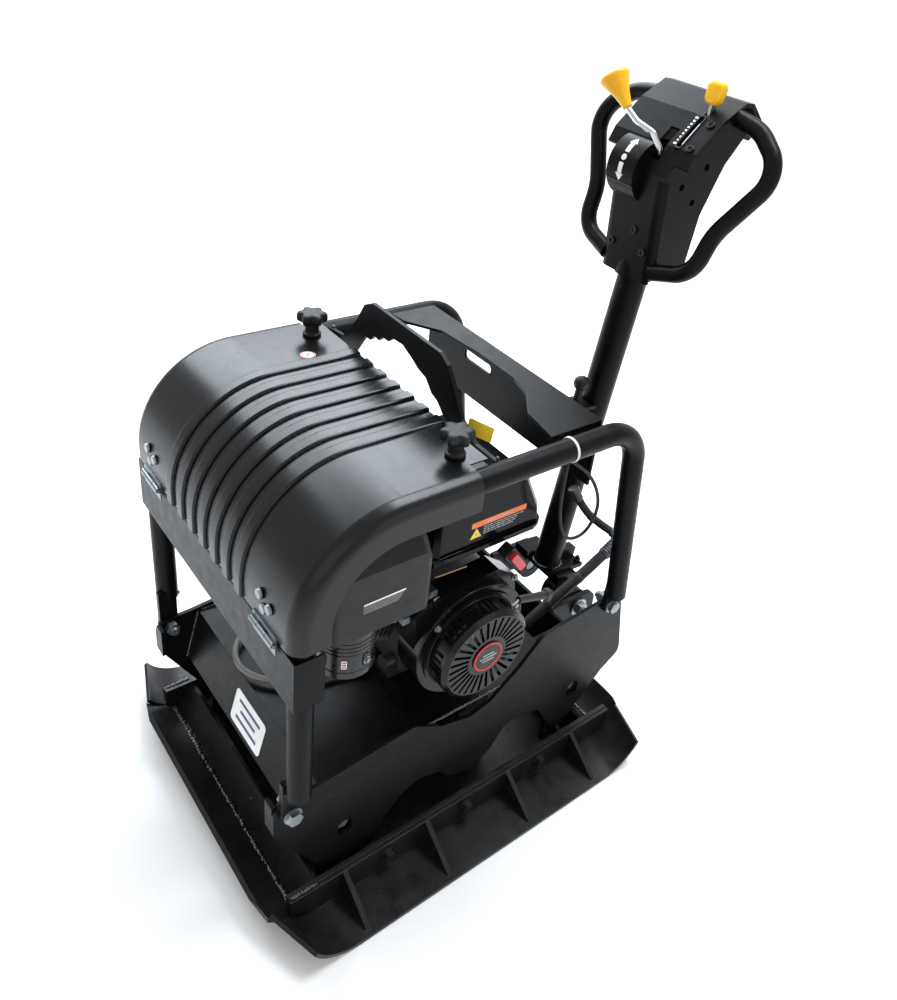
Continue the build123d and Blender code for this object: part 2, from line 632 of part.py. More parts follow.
def hinge_leaves(upper):
    """The leaves that ride on the hood, or the ones welded to the panel below."""
    leaves = []
    for x in HINGE_PLACES:
        knuckles = ((-36, -14), (14, 36)) if upper else ((-13, 13),)
        leaf = None
        for a, b in knuckles:
            curl = rod_x(x + a, x + b, HINGE_Y, HINGE_Z, 5)
            if upper:
                curl += slab(x + a, x + b, HINGE_Y + 2.5, HINGE_Y + 5, HINGE_Z, HINGE_Z + 14)
            else:
                curl += slab(x + a, x + b, HINGE_Y + 2.6, HINGE_Y + 5, HINGE_Z - 22, HINGE_Z)
            curl -= rod_x(x + a - 1, x + b + 1, HINGE_Y, HINGE_Z, 2.55)
            leaf = curl if leaf is None else leaf + curl
        if upper:
            leaf += slab(x - 36, x + 36, HINGE_Y + 2.5, HINGE_Y + 5, HINGE_Z + 9, HINGE_Z + 14)
        else:
            leaf += slab(x - 36, x + 36, HINGE_Y + 2.6, HINGE_Y + 5, HINGE_Z - 22, HINGE_Z - 8)
        leaves.append(leaf)
    return leaves


def hinge_pins():
    return [rod_x(x - 40, x + 40, HINGE_Y, HINGE_Z, 2.5) for x in HINGE_PLACES]


def hood_rivets():
    """Three dome rivets above each hinge."""
    heads = []
    for x in HINGE_PLACES:
        for dx, z in ((-16, 736), (-4, 716), (14, 728)):
            dome = Pos(x + dx, HOOD_FRONT_Y, z) * Sphere(9)
            heads.append(dome & slab(x - 40, x + 40, HOOD_FRONT_Y - 4, HOOD_FRONT_Y, z - 20, z + 20))
    return heads


def hood_knob():
    """Six-lobed screw knob on a ribbed collar; its stud passes the hood into the frame's slotted lug."""
    base = HOOD_TOP_Z
    collar = rod_z(KNOB_X, KNOB_Y, base, base + 6, 17) + rod_z(KNOB_X, KNOB_Y, base + 5, base + 30, 13)
    star = rod_z(KNOB_X, KNOB_Y, base + 28, base + 48, 20)
    for i in range(6):
        angle = radians(60 * i)
        star += rod_z(KNOB_X + 20 * cos(angle), KNOB_Y + 20 * sin(angle), base + 28, base + 48, 9)
    stud = rod_z(KNOB_X, KNOB_Y, base - 38, base + 10, 6)
    return collar + star + stud


def hood_lug():
    """Slotted lug inside the frame tube that the knob's stud drops into."""
    lug = slab(206, TUBE_X - TUBE_RADIUS + 2, KNOB_Y - 26, KNOB_Y + 20, 864, 872)
    lug -= slab(KNOB_X - 7, KNOB_X + 7, KNOB_Y - 40, KNOB_Y, 860, 875)
    lug -= rod_z(KNOB_X, KNOB_Y, 860, 875, 7)
    lug -= rod_y(TUBE_X, KNOB_Y - 60, KNOB_Y + 60, TUBE_TOP_Z, TUBE_RADIUS)
    return lug


# ---------------------------------------------------------------- engine
def engine_crankcase():
    """Cast crankcase with feet, a side cover on the drive side and a mounting ring on the fan side."""
    case = slab(-20, 150, CRANK_Y - 95, CRANK_Y + 105, ENGINE_BED_TOP + 12, CRANK_Z + 78)
    case = fillet(case.edges().filter_by(Axis.X), 22)
    for x in (10, 118):
        for y in (CRANK_Y - 82, CRANK_Y + 82):
            case += slab(x - 22, x + 22, y - 24, y + 24, ENGINE_BED_TOP, ENGINE_BED_TOP + 16)
    case += slab(-10, 140, CRANK_Y - 86, CRANK_Y + 90, ENGINE_BED_TOP + 5, ENGINE_BED_TOP + 30)
    case += rod_x(-36, -18, CRANK_Y, CRANK_Z, 88)
    case += rod_x(148, 176, CRANK_Y, CRANK_Z, 92)
    case -= rod_x(-12, 142, CRANK_Y, CRANK_Z, 66)
    case -= rod_x(-40, 180, CRANK_Y, CRANK_Z, 17.6)
    return case


def engine_cylinder():
    """Finned barrel and head, leaning forward from the crankcase, ending in the rocker cover."""
    lean = 25
    spot = Pos(0, CRANK_Y, CRANK_Z) * Rot(90 - lean, 0, 0)
    barrel = Pos(70, 0, 136) * Box(118, 112, 90)
    for i in range(9):
        barrel += Pos(70, 0, 96 + 10 * i) * Box(142, 142, 4)
    head = Pos(70, 0, 196) * Box(132, 128, 34)
    for i in range(3):
        head += Pos(70, 0, 185 + 10 * i) * Box(150, 140, 4)
    cover = Pos(70, 0, 230) * fillet(Box(104, 104, 36).edges().filter_by(Axis.Z), 16)
    block = barrel + head + cover
    bore = Pos(70, 0, 120) * Cylinder(44, 150)
    placed = spot * (block - bore)
    return placed - slab(-20, 150, CRANK_Y - 95, CRANK_Y + 105, ENGINE_BED_TOP, CRANK_Z + 78)


def fan_shroud():
    """Pressed cowl over the flywheel, open towards the cylinder, with a ring round the starter cover."""
    outer = rod_x(177, 238, CRANK_Y, CRANK_Z, 120)
    shoulders = [(-118, -20), (-118, 92), (-60, 118), (60, 130), (105, 96), (119, -20)]
    outer += plate_yz([(CRANK_Y + y, CRANK_Z + z) for y, z in shoulders], 177, 222)
    inner = rod_x(176, 235, CRANK_Y, CRANK_Z, 117)
    hollow = [(-115, -16), (-115, 90), (-59, 115), (59, 127), (102, 94), (116, -16)]
    inner += plate_yz([(CRANK_Y + y, CRANK_Z + z) for y, z in hollow], 176, 219)
    return outer - inner - rod_x(218, 240, CRANK_Y, CRANK_Z, 88)


def recoil_cover():
    """Starter cover: slotted drum side, radially slotted face and a round boss for the badge."""
    drum = rod_x(238.5, RECOIL_FACE_X - 8, CRANK_Y, CRANK_Z, RECOIL_RADIUS)
    face = Rot(0, 90, 0) * Cone(RECOIL_RADIUS, RECOIL_RADIUS - 9, 8)
    face = Pos(RECOIL_FACE_X - 4, CRANK_Y, CRANK_Z) * face
    flange = rod_x(238.5, 243, CRANK_Y, CRANK_Z, RECOIL_RADIUS + 9)
    hollow = rod_x(238, RECOIL_FACE_X - 5, CRANK_Y, CRANK_Z, RECOIL_RADIUS - 4)
    cover = drum + face + flange - hollow
    centre = Pos(RECOIL_FACE_X - 4, CRANK_Y, CRANK_Z)
    for i in range(30):
        cover -= centre * Rot(12 * i, 0, 0) * Pos(0, 64, 0) * Box(14, 42, 6)
    rim = Pos(261, CRANK_Y, CRANK_Z)
    for group in range(9):
        for i in range(4):
            cover -= rim * Rot(40 * group + 7.5 * i, 0, 0) * Pos(0, RECOIL_RADIUS - 2, 0) * Box(26, 12, 8)
    boss = rod_x(RECOIL_FACE_X - 8, RECOIL_FACE_X + 2, CRANK_Y, CRANK_Z, 33)
    return cover + boss


def recoil_grip():
    """Moulded pull handle parked behind the starter cover, with a thicker end for the fingers."""
    seat = Plane(origin=(263, 74, 541), x_dir=(1, 0, 0), z_dir=(0, 0.96, -0.28))
    return seat * (Pos(0, 0, 36) * Cone(7, 8.5, 72) + Pos(0, 0, 78) * fillet(Box(20, 22, 18).edges(), 6))


def flywheel():
    wheel = rod_x(190, 226, CRANK_Y, CRANK_Z, 82) - rod_x(200, 227, CRANK_Y, CRANK_Z, 60)
    for i in range(16):
        blade = Rot(22.5 * i, 0, 0) * Pos(0, 88, 0) * Box(26, 28, 3)
        wheel += Pos(212, CRANK_Y, CRANK_Z) * blade
    wheel += rod_x(199, 232, CRANK_Y, CRANK_Z, 40)
    return wheel - rod_x(185, 240, CRANK_Y, CRANK_Z, 12.5)


def crankshaft():
    """Crankshaft: drive-side end, two webs with the crankpin, and the flywheel's taper."""
    shaft = rod_x(BELT_X - 26, 0, CRANK_Y, CRANK_Z, 12.5) + rod_x(-36, 12, CRANK_Y, CRANK_Z, 17.5)
    shaft += rod_x(118, 180, CRANK_Y, CRANK_Z, 17.5) + rod_x(118, 236, CRANK_Y, CRANK_Z, 12.5)
    pin_z = CRANK_Z + 32
    for x0, x1 in ((10, 32), (98, 120)):
        web = rod_x(x0, x1, CRANK_Y, CRANK_Z, 30) + rod_x(x0, x1, CRANK_Y, pin_z, 22)
        web += rod_x(x0, x1, CRANK_Y, CRANK_Z - 12, 46)
        shaft += web
    return shaft + rod_x(30, 100, CRANK_Y, pin_z, 16)


def clutch_pulley():
    """Centrifugal clutch drum with its two belt grooves."""
    drum = belt_pulley(BELT_X, CRANK_Y, CRANK_Z, CLUTCH_RADIUS, 24, 12.5)
    housing = rod_x(BELT_X + 22, BELT_X + 50, CRANK_Y, CRANK_Z, 55)
    return drum + (housing - rod_x(BELT_X + 21, BELT_X + 47, CRANK_Y, CRANK_Z, 51)
                   - rod_x(BELT_X + 20, BELT_X + 60, CRANK_Y, CRANK_Z, 13))


def drive_belt():
    """Two V-belts round the clutch and the exciter pulley, modelled as one banded loop each."""
    loops = []
    y1, z1, r1 = CRANK_Y, CRANK_Z, CLUTCH_RADIUS - 0.6
    y2, z2, r2 = -SHAFT_Y, SHAFT_Z, EXCITER_PULLEY_RADIUS - 0.6
    for groove in (-11, 11):
        loops.append(belt_loop((y1, z1, r1), (y2, z2, r2), BELT_X + groove - 4, BELT_X + groove + 4, 7))
    return loops


def belt_loop(first, second, x0, x1, thickness):
    outer = belt_hull(first, second, 0, x0, x1)
    inner = belt_hull(first, second, -thickness, x0 - 1, x1 + 1)
    return outer - inner


def belt_hull(first, second, grow, x0, x1):
    """The outline that a tight band makes round two circles."""
    y1, z1, r1 = first
    y2, z2, r2 = second
    r1, r2 = r1 + grow, r2 + grow
    dy, dz = y2 - y1, z2 - z1
    span = hypot(dy, dz)
    heading = atan2(dz, dy)
    side = atan2(sqrt(span**2 - (r1 - r2) ** 2), r1 - r2)
    quad = []
    for y, z, r, turn in ((y1, z1, r1, side), (y2, z2, r2, side), (y2, z2, r2, -side), (y1, z1, r1, -side)):
        quad.append((y + r * cos(heading + turn), z + r * sin(heading + turn)))
    return plate_yz(quad, x0, x1) + rod_x(x0, x1, y1, z1, r1) + rod_x(x0, x1, y2, z2, r2)


def belt_guard():
    """Sheet cover over the belts, following them down to the floor, open below."""
    lower = (-SHAFT_Y, SHAFT_Z, 78)
    above_floor = slab(-300, 0, -300, 300, FLOOR_TOP, 600)
    outer = belt_hull((CRANK_Y, CRANK_Z, 84), lower, 0, BELT_X - 34, BELT_X + 56) & above_floor
    inner = belt_hull((CRANK_Y, CRANK_Z, 84), lower, -3, BELT_X - 31, BELT_X + 53)
    return outer - inner - rod_x(BELT_X + 50, BELT_X + 60, CRANK_Y, CRANK_Z, 22)


def air_filter_box():
    """Large two-stage filter housing with a sloped shoulder, open underneath for the bowl."""
    section = [(150, 646), (280, 646), (280, 766), (238, 826), (150, 826)]
    body = plate_xz(section, -330, -145)
    ends = body.faces().sort_by(Axis.Y)
    upper = [e for e in ends[0].edges() + ends[-1].edges() if e.center().Z > 780 and e.center().X > 155]
    body = chamfer(upper, 18)
    posts = [e for e in body.edges().filter_by(Axis.Z) if e.center().X > 270]
    body = fillet(posts, 14)
    neck = slab(120, 175, -190, -150, 650, 690)
    return body + neck - slab(160, 268, -318, -157, 640, 750)


def air_filter_bowl():
    """Clear dust bowl with a rim, hanging from the filter's underside."""
    bowl = rod_z(224, -268, 550, 645, 48) - rod_z(224, -268, 553, 646, 45)
    rim = rod_z(224, -268, 636, 645, 52) - rod_z(224, -268, 630, 646, 45)
    return bowl + rim


def carburettor():
    """Carburettor between the cylinder head's side and the filter's neck, with its float bowl."""
    body = slab(146, 178, -196, -150, 556, 636) + rod_z(162, -172, 528, 558, 15)
    return body + rod_z(161, -170, 634, 646, 13) + control_plate()


def choke_lever():
    """Flat lever on the carburettor's side with a turned-out tip."""
    arm = slab(190, 193, -150, -80, 585, 597) + rod_x(188, 196, -145, 591, 9)
    return arm + slab(190, 212, -92, -78, 584, 598)


def fuel_lever():
    """Fuel tap's flat lever beside the cowl's front edge, with a turned-out tip."""
    arm = slab(190, 193, -158, -133, 546, 556) + rod_x(188, 196, -152, 551, 7)
    return arm + slab(190, 210, -145, -131, 544, 558)


def control_plate():
    """Small bracket beside the carburettor that both fuel controls pivot on."""
    plate = slab(180, 188, -170, -130, 536, 612) + slab(149, 182, -170, -160, 560, 600)
    return plate


def engine_switch():
    """Switch box on the cowl's shoulder, with a pocket for the rocker in its sloping face."""
    box = fillet(Box(24, 26, 62).edges().filter_by(Axis.X), 5)
    return Pos(231, 71, 623) * Rot(37, 0, 0) * (box - Pos(15, 0, 0) * Box(16, 17, 47))


def engine_switch_rocker():
    """Rocker with the round trunnion that it tips on."""
    rocker = fillet(Box(11, 16, 46).edges().filter_by(Axis.X), 4) + Rot(90, 0, 0) * Cylinder(2.5, 16.6)
    return Pos(246.5, 71, 623) * Rot(37, 0, 0) * rocker


def fuel_tank():
    """Pressed tank: upper and lower shells on a rolled seam flange, the upper one sloping in behind."""
    seam_z = 662
    profile = [(-92, seam_z), (150, seam_z), (142, 704), (110, 770), (98, 786), (-76, 786), (-88, 774)]
    upper = plate_yz(profile, -30, TANK_FACE_X - 4)
    sides = [e for f in (upper.faces().sort_by(Axis.X)[-1], upper.faces().sort_by(Axis.X)[0])
             for e in f.edges() if e.center().Z > seam_z + 10]
    upper = chamfer(sides, 9)
    lower = slab(-24, TANK_FACE_X - 10, -86, 144, seam_z - 36, seam_z)
    lower = chamfer(lower.faces().sort_by(Axis.Z)[0].edges(), 14)
    seam = fillet(slab(-38, TANK_FACE_X + 4, -100, 158, seam_z - 4, seam_z + 4).edges().filter_by(Axis.Z), 34)
    feet = slab(40, 120, -60, 60, 586, seam_z - 30)
    neck = rod_z(60, -40, 780, 796, 28)
    tank = lower + upper + seam + feet + neck
    hollow = slab(-20, TANK_FACE_X - 14, -78, 92, seam_z - 24, 776)
    return tank - hollow - rod_z(60, -40, 770, 800, 22)


def fuel_cap():
    cap = rod_z(60, -40, 796, 814, 36)
    for i in range(12):
        angle = radians(30 * i)
        cap -= rod_z(60 + 38 * cos(angle), -40 + 38 * sin(angle), 790, 820, 4.5)
    return cap + rod_z(60, -40, 786, 797, 21.5)


def muffler():
    """Box silencer on the drive side with its pipe from the cylinder head and its outlet."""
    box = fillet(slab(-160, -44, -210, -60, 640, 752).edges().filter_by(Axis.X), 18)
    outlet = rod_y(-110, -240, -208, 716, 11)
    elbow = rod_z(-70, -186, 548, 642, 14) + rod_x(-70, -6, -186, 548, 14) + rod_x(-84, -56, -186, 548, 13)
    return box + outlet + elbow


def oil_plugs():
    """Dipstick caps at the crankcase's foot."""
    front = rod_y(130, CRANK_Y - 117, CRANK_Y - 95, ENGINE_BED_TOP + 42, 14)
    rear = rod_y(130, CRANK_Y + 105, CRANK_Y + 127, ENGINE_BED_TOP + 42, 14)
    return [front, rear]


DRAIN_ROUTE = [(-150, -172, 330), (-142, -240, 318), (-120, -304, 316), (-58, -334, 316), (4, -306, 314),
               (40, -250, 314), (54, -180, 318), (64, -121, 322)]


# ---------------------------------------------------------------- drawbar
def tilted(shape):
    """Stand a piece, drawn upright over the pivot, at the drawbar's rest angle."""
    return Pos(0, PIVOT_Y, PIVOT_Z) * Rot(-COLUMN_TILT, 0, 0) * shape


def pivot_pins():
    """Two stub pins, each through one ear and one boss, with a washer, a nut and a threaded end."""
    pins = []
    for inner, side in ((26, 1), (-57, -1)):
        pin = rod_x(*sorted((inner, side * 118)), PIVOT_Y, PIVOT_Z, PIVOT_PIN_RADIUS)
        pin += rod_x(*sorted((side * 116, side * 120)), PIVOT_Y, PIVOT_Z, 23)
        pin += hexagon_x(*sorted((side * 120, side * 133)), PIVOT_Y, PIVOT_Z, 17)
        pins.append(pin + rod_x(*sorted((side * 130, side * 142)), PIVOT_Y, PIVOT_Z, 8))
    return pins


def drawbar_column():
    """Two pivot bosses, base flange with its bolts, the column, and the latch's bracket."""
    bosses = rod_x(24, 100, 0, 0, 36) + rod_x(-100, -55, 0, 0, 36)
    webs = slab(26, 56, -24, 34, 0, 48) + slab(-98, -57, -24, 34, 0, 48)
    flange = slab(-42, 42, -46, 66, 46, 57) + slab(-98, 42, -30, 40, 40, 50)
    axis_y = COLUMN_SETBACK
    column = rod_z(0, axis_y, 52, COLUMN_TOP, COLUMN_RADIUS)
    column -= rod_z(0, axis_y, 60, COLUMN_TOP + 1, COLUMN_RADIUS - COLUMN_WALL)
    foot = slab(-12, 12, axis_y + 30, 62, 56, 84)
    bolts = None
    for x, y in ((-31, 55), (31, 55), (31, -36), (-31, -36)):
        bolt = hexagon_z(x, y, 56, 66, 9) + rod_z(x, y, 56, 72, 5)
        bolts = bolt if bolts is None else bolts + bolt
    body = bosses + webs + flange + column + foot + bolts
    body -= rod_x(-101, 101, 0, 0, PIVOT_PIN_RADIUS + 0.1)
    gusset = [(-74, 486), (-30, 440), (-20, 440), (-20, 494), (-74, 494)]
    wedge = plate_yz([(axis_y + y, z) for y, z in gusset], -6, 6)
    shelf = slab(-26, 26, axis_y - 92, axis_y - 24, 486, 494)
    return tilted(body + wedge + shelf - rod_z(0, axis_y - 62, 455, 500, 9.2))


def latch_pin():
    """Spring plunger with a ball knob, standing in the shelf on the column's front."""
    y = COLUMN_SETBACK - 62
    return tilted(rod_z(0, y, 466, 530, 8.8) + Pos(0, y, 540) * Sphere(17))


HEAD_HALF = 70.0
ROOF_HALF = 104.0
HEAD_ROUNDING = 24.0
HANDLE_RADIUS = 17.0
HEAD_LEAN = 3.7


def drawbar_head():
    """Control head: a bent cover sheet over two cheeks, clamped on the column's top."""
    front = [(488, 1018), (474, 1236), (500, 1290), (560, 1345), (618, 1378), (640, 1376),
             (676, 1344), (700, 1300)]
    back = [(694, 1296), (668, 1338), (636, 1368), (618, 1370), (564, 1338), (505, 1284),
            (481, 1234), (494, 1018)]
    cover = plate_yz(front + back, -HEAD_HALF - 3, HEAD_HALF + 3)
    roof = [(486, 1262), (500, 1290), (560, 1345), (618, 1378), (640, 1376), (676, 1344), (690, 1318)]
    lining = [(684, 1314), (670, 1338), (636, 1368), (618, 1370), (564, 1338), (505, 1284), (491, 1258)]
    wide = plate_yz(roof + lining, -ROOF_HALF, ROOF_HALF)
    cheek = [(492, 1056), (588, 1050), (600, 1154), (641, 1251), (690, 1312), (668, 1338), (636, 1370),
             (618, 1372), (562, 1340), (503, 1286), (479, 1234)]
    body = cover + wide
    for side in (-1, 1):
        x0, x1 = sorted((side * (HEAD_HALF - 6), side * HEAD_HALF))
        plate = plate_yz(cheek, x0, x1)
        for y, z in ((587, 1250), (525, 1216), (566, 1182)):
            plate -= Pos(side * HEAD_HALF, y, z) * Rot(0, 90, 0) * Cylinder(7, 20)
        body += plate
    axis_y = COLUMN_SETBACK
    clamp = tilted(rod_z(0, axis_y, COLUMN_TOP - 62, COLUMN_TOP + 6, COLUMN_RADIUS + 9)
                   - rod_z(0, axis_y, COLUMN_TOP - 70, COLUMN_TOP, COLUMN_RADIUS))
    floor = slab(-HEAD_HALF + 3, HEAD_HALF - 3, 489, 589, 1052, 1060)
    body += clamp + floor
    for side in (-1, 1):
        x0, x1 = sorted((side * 46, side * 67))
        body += plate_yz([(486, 1054), (512, 1054), (506, 1230), (478, 1230)], x0, x1)
        body -= head_corner_cutter(side)
    body -= tilted(rod_z(0, axis_y, COLUMN_TOP - 80, COLUMN_TOP, COLUMN_RADIUS))
    body += direction_housing()
    body -= Pos(58, 538, 1325) * Rot(41, 0, 0) * Box(9, 112, 90)
    body -= Pos(22, 506, 1290) * Rot(43, 0, 0) * Box(22, 70, 80)
    return body


def direction_housing():
    """Round quadrant housing on the head's left, beside the travel lever's slot."""
    drum = rod_x(-62, 8, 512, 1226, 62) & slab(-70, 10, 400, 560, 1100, 1400)
    return drum + plate_yz([(480, 1172), (505, 1172), (520, 1190), (452, 1206)], -60, 6)


def head_corner_cutter(side):
    """Rounds one upright edge of the head's front face, which leans back as it rises."""
    edge = HEAD_HALF + 3
    block = slab(*sorted((side * (edge - HEAD_ROUNDING), side * (edge + 5))), -10, HEAD_ROUNDING, -125, 102)
    round_off = rod_z(side * (edge - HEAD_ROUNDING), HEAD_ROUNDING, -130, 110, HEAD_ROUNDING)
    return Pos(0, 481, 1127) * Rot(HEAD_LEAN, 0, 0) * (block - round_off)


def direction_lever():
    """Bent chrome rod swinging in the slot beside the quadrant housing."""
    route = [(24, 514, 1236), (26, 488, 1282), (10, 482, 1306), (-26, 472, 1318), (-54, 470, 1336)]
    return pipe(route, 6.0, [14, 12, 14]) + rod_x(15, 33, 514, 1236, 12)


def direction_knob():
    """Flared hand knob on the rod's end."""
    seat = Plane(origin=(-54, 470, 1337), x_dir=(0, 1, 0), z_dir=(-0.66, -0.10, 0.74))
    return seat * (Pos(0, 0, 31) * Cone(9, 30, 62) + Pos(0, 0, 67) * Cone(30, 20, 10))


def throttle_lever():
    blade = plate_yz([(558, 1262), (568, 1259), (583, 1366), (571, 1368)], 55, 61)
    return blade + rod_x(51, 63.5, 562, 1262, 11)


def throttle_knob():
    return Pos(58, 578, 1386) * Rot(-12, 0, 0) * fillet(Box(38, 32, 44).edges(), 12)


def handle_loop():
    """The +X grip loop: out from the cover's rear, round, and back to the head's foot."""
    route = [(98, 606, 1351), (160, 603, 1340), (236, 584, 1286), (158, 537, 1150), (150, 510, 1070),
             (62, 498, 1044)]
    return pipe(route, HANDLE_RADIUS, [80, 62, 120, 60])


HOSE_ROUTE = [(150, 470, 430), (150, 400, 390), (147, 330, 352), (136, 262, 300), (124, 206, 246)]
UPPER_HOSE_ROUTE = [(46, 420, 528), (65, 436, 487), (100, 457, 459), (150, 484, 442)]
CABLE_ROUTE = [(262, 120, 846), (262, 180, 804), (262, 230, 742), (262, 248, 682), (262, 222, 634),
               (262, 172, 640), (262, 146, 690), (262, 136, 764),
               (260, 142, 838)]


def cord_tube(route, diameter):
    """A free hose or cable: straight runs joined by the largest arcs that they allow."""
    radii = []
    for before, at, after in zip(route, route[1:], route[2:]):
        a, b = Vector(*at) - Vector(*before), Vector(*after) - Vector(*at)
        turn = radians(a.get_angle(b))
        radii.append(0.45 * min(a.length, b.length) / (sin(turn / 2) / cos(turn / 2)))
    print("radii", [round(r) for r in radii])
    return solid_sweep(FilletPolyline(*route, radius=radii), diameter / 2)


def main():
    os.makedirs("parts", exist_ok=True)
    write("base_plate", base_plate())
    right_wing = wing()
    write("extension_wing_right", right_wing)
    write("extension_wing_left", mirrored(right_wing))
    write("wing_bolts", *wing_bolts())
    write("buffer_bolts", *buffer_bolts())
    write("rubber_buffers", *rubber_buffers())
    write("exciter_housing", exciter_housing())
    write("exciter_end_caps", *exciter_end_caps())
    write("exciter_bearings", *exciter_bearings())
    write("exciter_shaft_front", exciter_shaft(-SHAFT_Y, BELT_X - 24))
    write("exciter_shaft_rear", exciter_shaft(SHAFT_Y, -146))
    write("exciter_gear_front", exciter_gear(-SHAFT_Y, 0))
    write("exciter_gear_rear", exciter_gear(SHAFT_Y, pi + pi / GEAR_TEETH))
    write("exciter_pulley", belt_pulley(BELT_X, -SHAFT_Y, SHAFT_Z, EXCITER_PULLEY_RADIUS, 30, SHAFT_RADIUS))
    side = deck_side()
    write("deck_side_right", side)
    write("deck_side_left", mirrored(side))
    write("deck_floor", deck_floor())
    write("deck_rear_plate", deck_rear_plate())
    tube = frame_tube()
    write("frame_tube_right", tube)
    write("frame_tube_left", mirrored(tube))
    write("frame_bolts", *frame_bolts())
    write("front_cross_panel", front_cross_panel())
    write("lifting_bail", lifting_bail())
    write("rear_cross_plate", rear_cross_plate())
    write("hood", hood())
    write("hood_hinge_leaves", *hinge_leaves(True), *hood_rivets())
    write("panel_hinge_leaves", *hinge_leaves(False), *hinge_pins())
    write("hood_knob_right", hood_knob())
    write("hood_knob_left", mirrored(hood_knob()))
    write("engine_crankcase", engine_crankcase(), *oil_plugs())
    write("engine_cylinder", engine_cylinder())
    write("fan_shroud", fan_shroud())
    write("recoil_cover", recoil_cover())
    write("recoil_grip", recoil_grip())
    write("flywheel", flywheel())
    write("crankshaft", crankshaft())
    write("clutch_pulley", clutch_pulley())
    write("drive_belts", *drive_belt())
    write("belt_guard", belt_guard())
    write("air_filter_box", air_filter_box())
    write("air_filter_bowl", air_filter_bowl())
    write("carburettor", carburettor())
    write("choke_lever", choke_lever())
    write("fuel_lever", fuel_lever())
    write("engine_switch", engine_switch())
    write("engine_switch_rocker", engine_switch_rocker())
    write("fuel_tank", fuel_tank())
    write("fuel_cap", fuel_cap())
    write("muffler", muffler())
    write("drawbar_column", drawbar_column())
    write("latch_pin", latch_pin())
    head = drawbar_head()
    write("drawbar_head", head)
    write("direction_lever", direction_lever(), direction_knob())
    write("throttle_lever", throttle_lever(), throttle_knob())
    write("handle_loop_right", handle_loop() - head)
    write("handle_loop_left", mirrored(handle_loop()) - head)
    write("drawbar_pivot_pins", *pivot_pins())
    write("hydraulic_hoses", cord_tube(HOSE_ROUTE, 24), cord_tube(UPPER_HOSE_ROUTE, 18))
    write("drain_hose", cord_tube(DRAIN_ROUTE, 12))
    write("throttle_cable", cord_tube(CABLE_ROUTE, 6.5))


main()
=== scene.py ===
import json
import math
import random

import bmesh
import bpy
from mathutils import Matrix, Vector


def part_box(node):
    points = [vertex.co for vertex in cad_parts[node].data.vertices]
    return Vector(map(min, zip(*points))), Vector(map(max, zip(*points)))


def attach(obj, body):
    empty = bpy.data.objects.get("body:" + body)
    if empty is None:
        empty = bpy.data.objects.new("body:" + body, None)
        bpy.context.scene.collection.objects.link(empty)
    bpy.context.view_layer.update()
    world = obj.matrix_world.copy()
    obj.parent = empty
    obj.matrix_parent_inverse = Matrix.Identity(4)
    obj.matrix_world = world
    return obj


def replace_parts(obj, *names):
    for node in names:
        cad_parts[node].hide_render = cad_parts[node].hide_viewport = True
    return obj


# The looks of a reversible plate compactor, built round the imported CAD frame.
# Blender works in metres, +Z up, -Y is the front. Places are written in millimetres and multiplied by MM.

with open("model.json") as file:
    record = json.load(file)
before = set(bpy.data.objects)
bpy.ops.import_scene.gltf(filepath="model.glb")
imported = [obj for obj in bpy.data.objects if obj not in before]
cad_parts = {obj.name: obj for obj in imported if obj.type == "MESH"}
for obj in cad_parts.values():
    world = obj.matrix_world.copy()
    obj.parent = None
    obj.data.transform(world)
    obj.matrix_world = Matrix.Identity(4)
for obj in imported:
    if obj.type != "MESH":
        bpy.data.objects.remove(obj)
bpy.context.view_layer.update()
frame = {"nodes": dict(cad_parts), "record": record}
nodes = frame["nodes"]
MM = 0.001

CAD_BEVEL = 0.9 * MM
CAD_BEVEL_ANGLE = 38
WELD_DISTANCE = 0.01 * MM
MIX_FACTOR, MIX_FIRST, MIX_SECOND, MIX_RESULT = 0, 6, 7, 2
STARTER_Y, STARTER_Z = -8, 465
BOWL_X, BOWL_Y = 224, -268
BOWL_MARK_Z = 582
QUADRANT_CENTRE = (-27, 512, 1226)
QUADRANT_RADIUS = 62
TRAVEL_PIVOT = (24, 514, 1236)
THROTTLE_PIVOT = (57.5, 562, 1262)
PRINT_HEIGHT = 0.35
# Carries (y, z) outlines, with their thickness along X.
SIDE_ON = Matrix(((0, 0, 1), (1, 0, 0), (0, 1, 0))).to_4x4()


# ---------------------------------------------------------------- materials
def new_material(name):
    """An empty node material with its tree and its Principled shader."""
    made = bpy.data.materials.new(name)
    made.use_nodes = True
    tree = made.node_tree
    shader = tree.nodes["Principled BSDF"]
    return made, tree, shader


def node(tree, kind, **values):
    """A shader node with some of its properties and inputs set by name."""
    made = tree.nodes.new(kind)
    for key, value in values.items():
        if key in made.inputs:
            made.inputs[key].default_value = value
        else:
            setattr(made, key, value)
    return made


def coordinates(tree, scale=(1, 1, 1)):
    """Object coordinates: every piece's own frame is the row frame."""
    place = node(tree, "ShaderNodeTexCoord")
    mapping = node(tree, "ShaderNodeMapping")
    mapping.inputs["Scale"].default_value = scale
    tree.links.new(place.outputs["Object"], mapping.inputs["Vector"])
    return mapping.outputs["Vector"]


def noise(tree, vector, scale, detail=4, roughness=0.55):
    """The value of a noise texture."""
    made = node(tree, "ShaderNodeTexNoise", Scale=scale, Detail=detail, Roughness=roughness)
    tree.links.new(vector, made.inputs["Vector"])
    return made.outputs["Fac"]


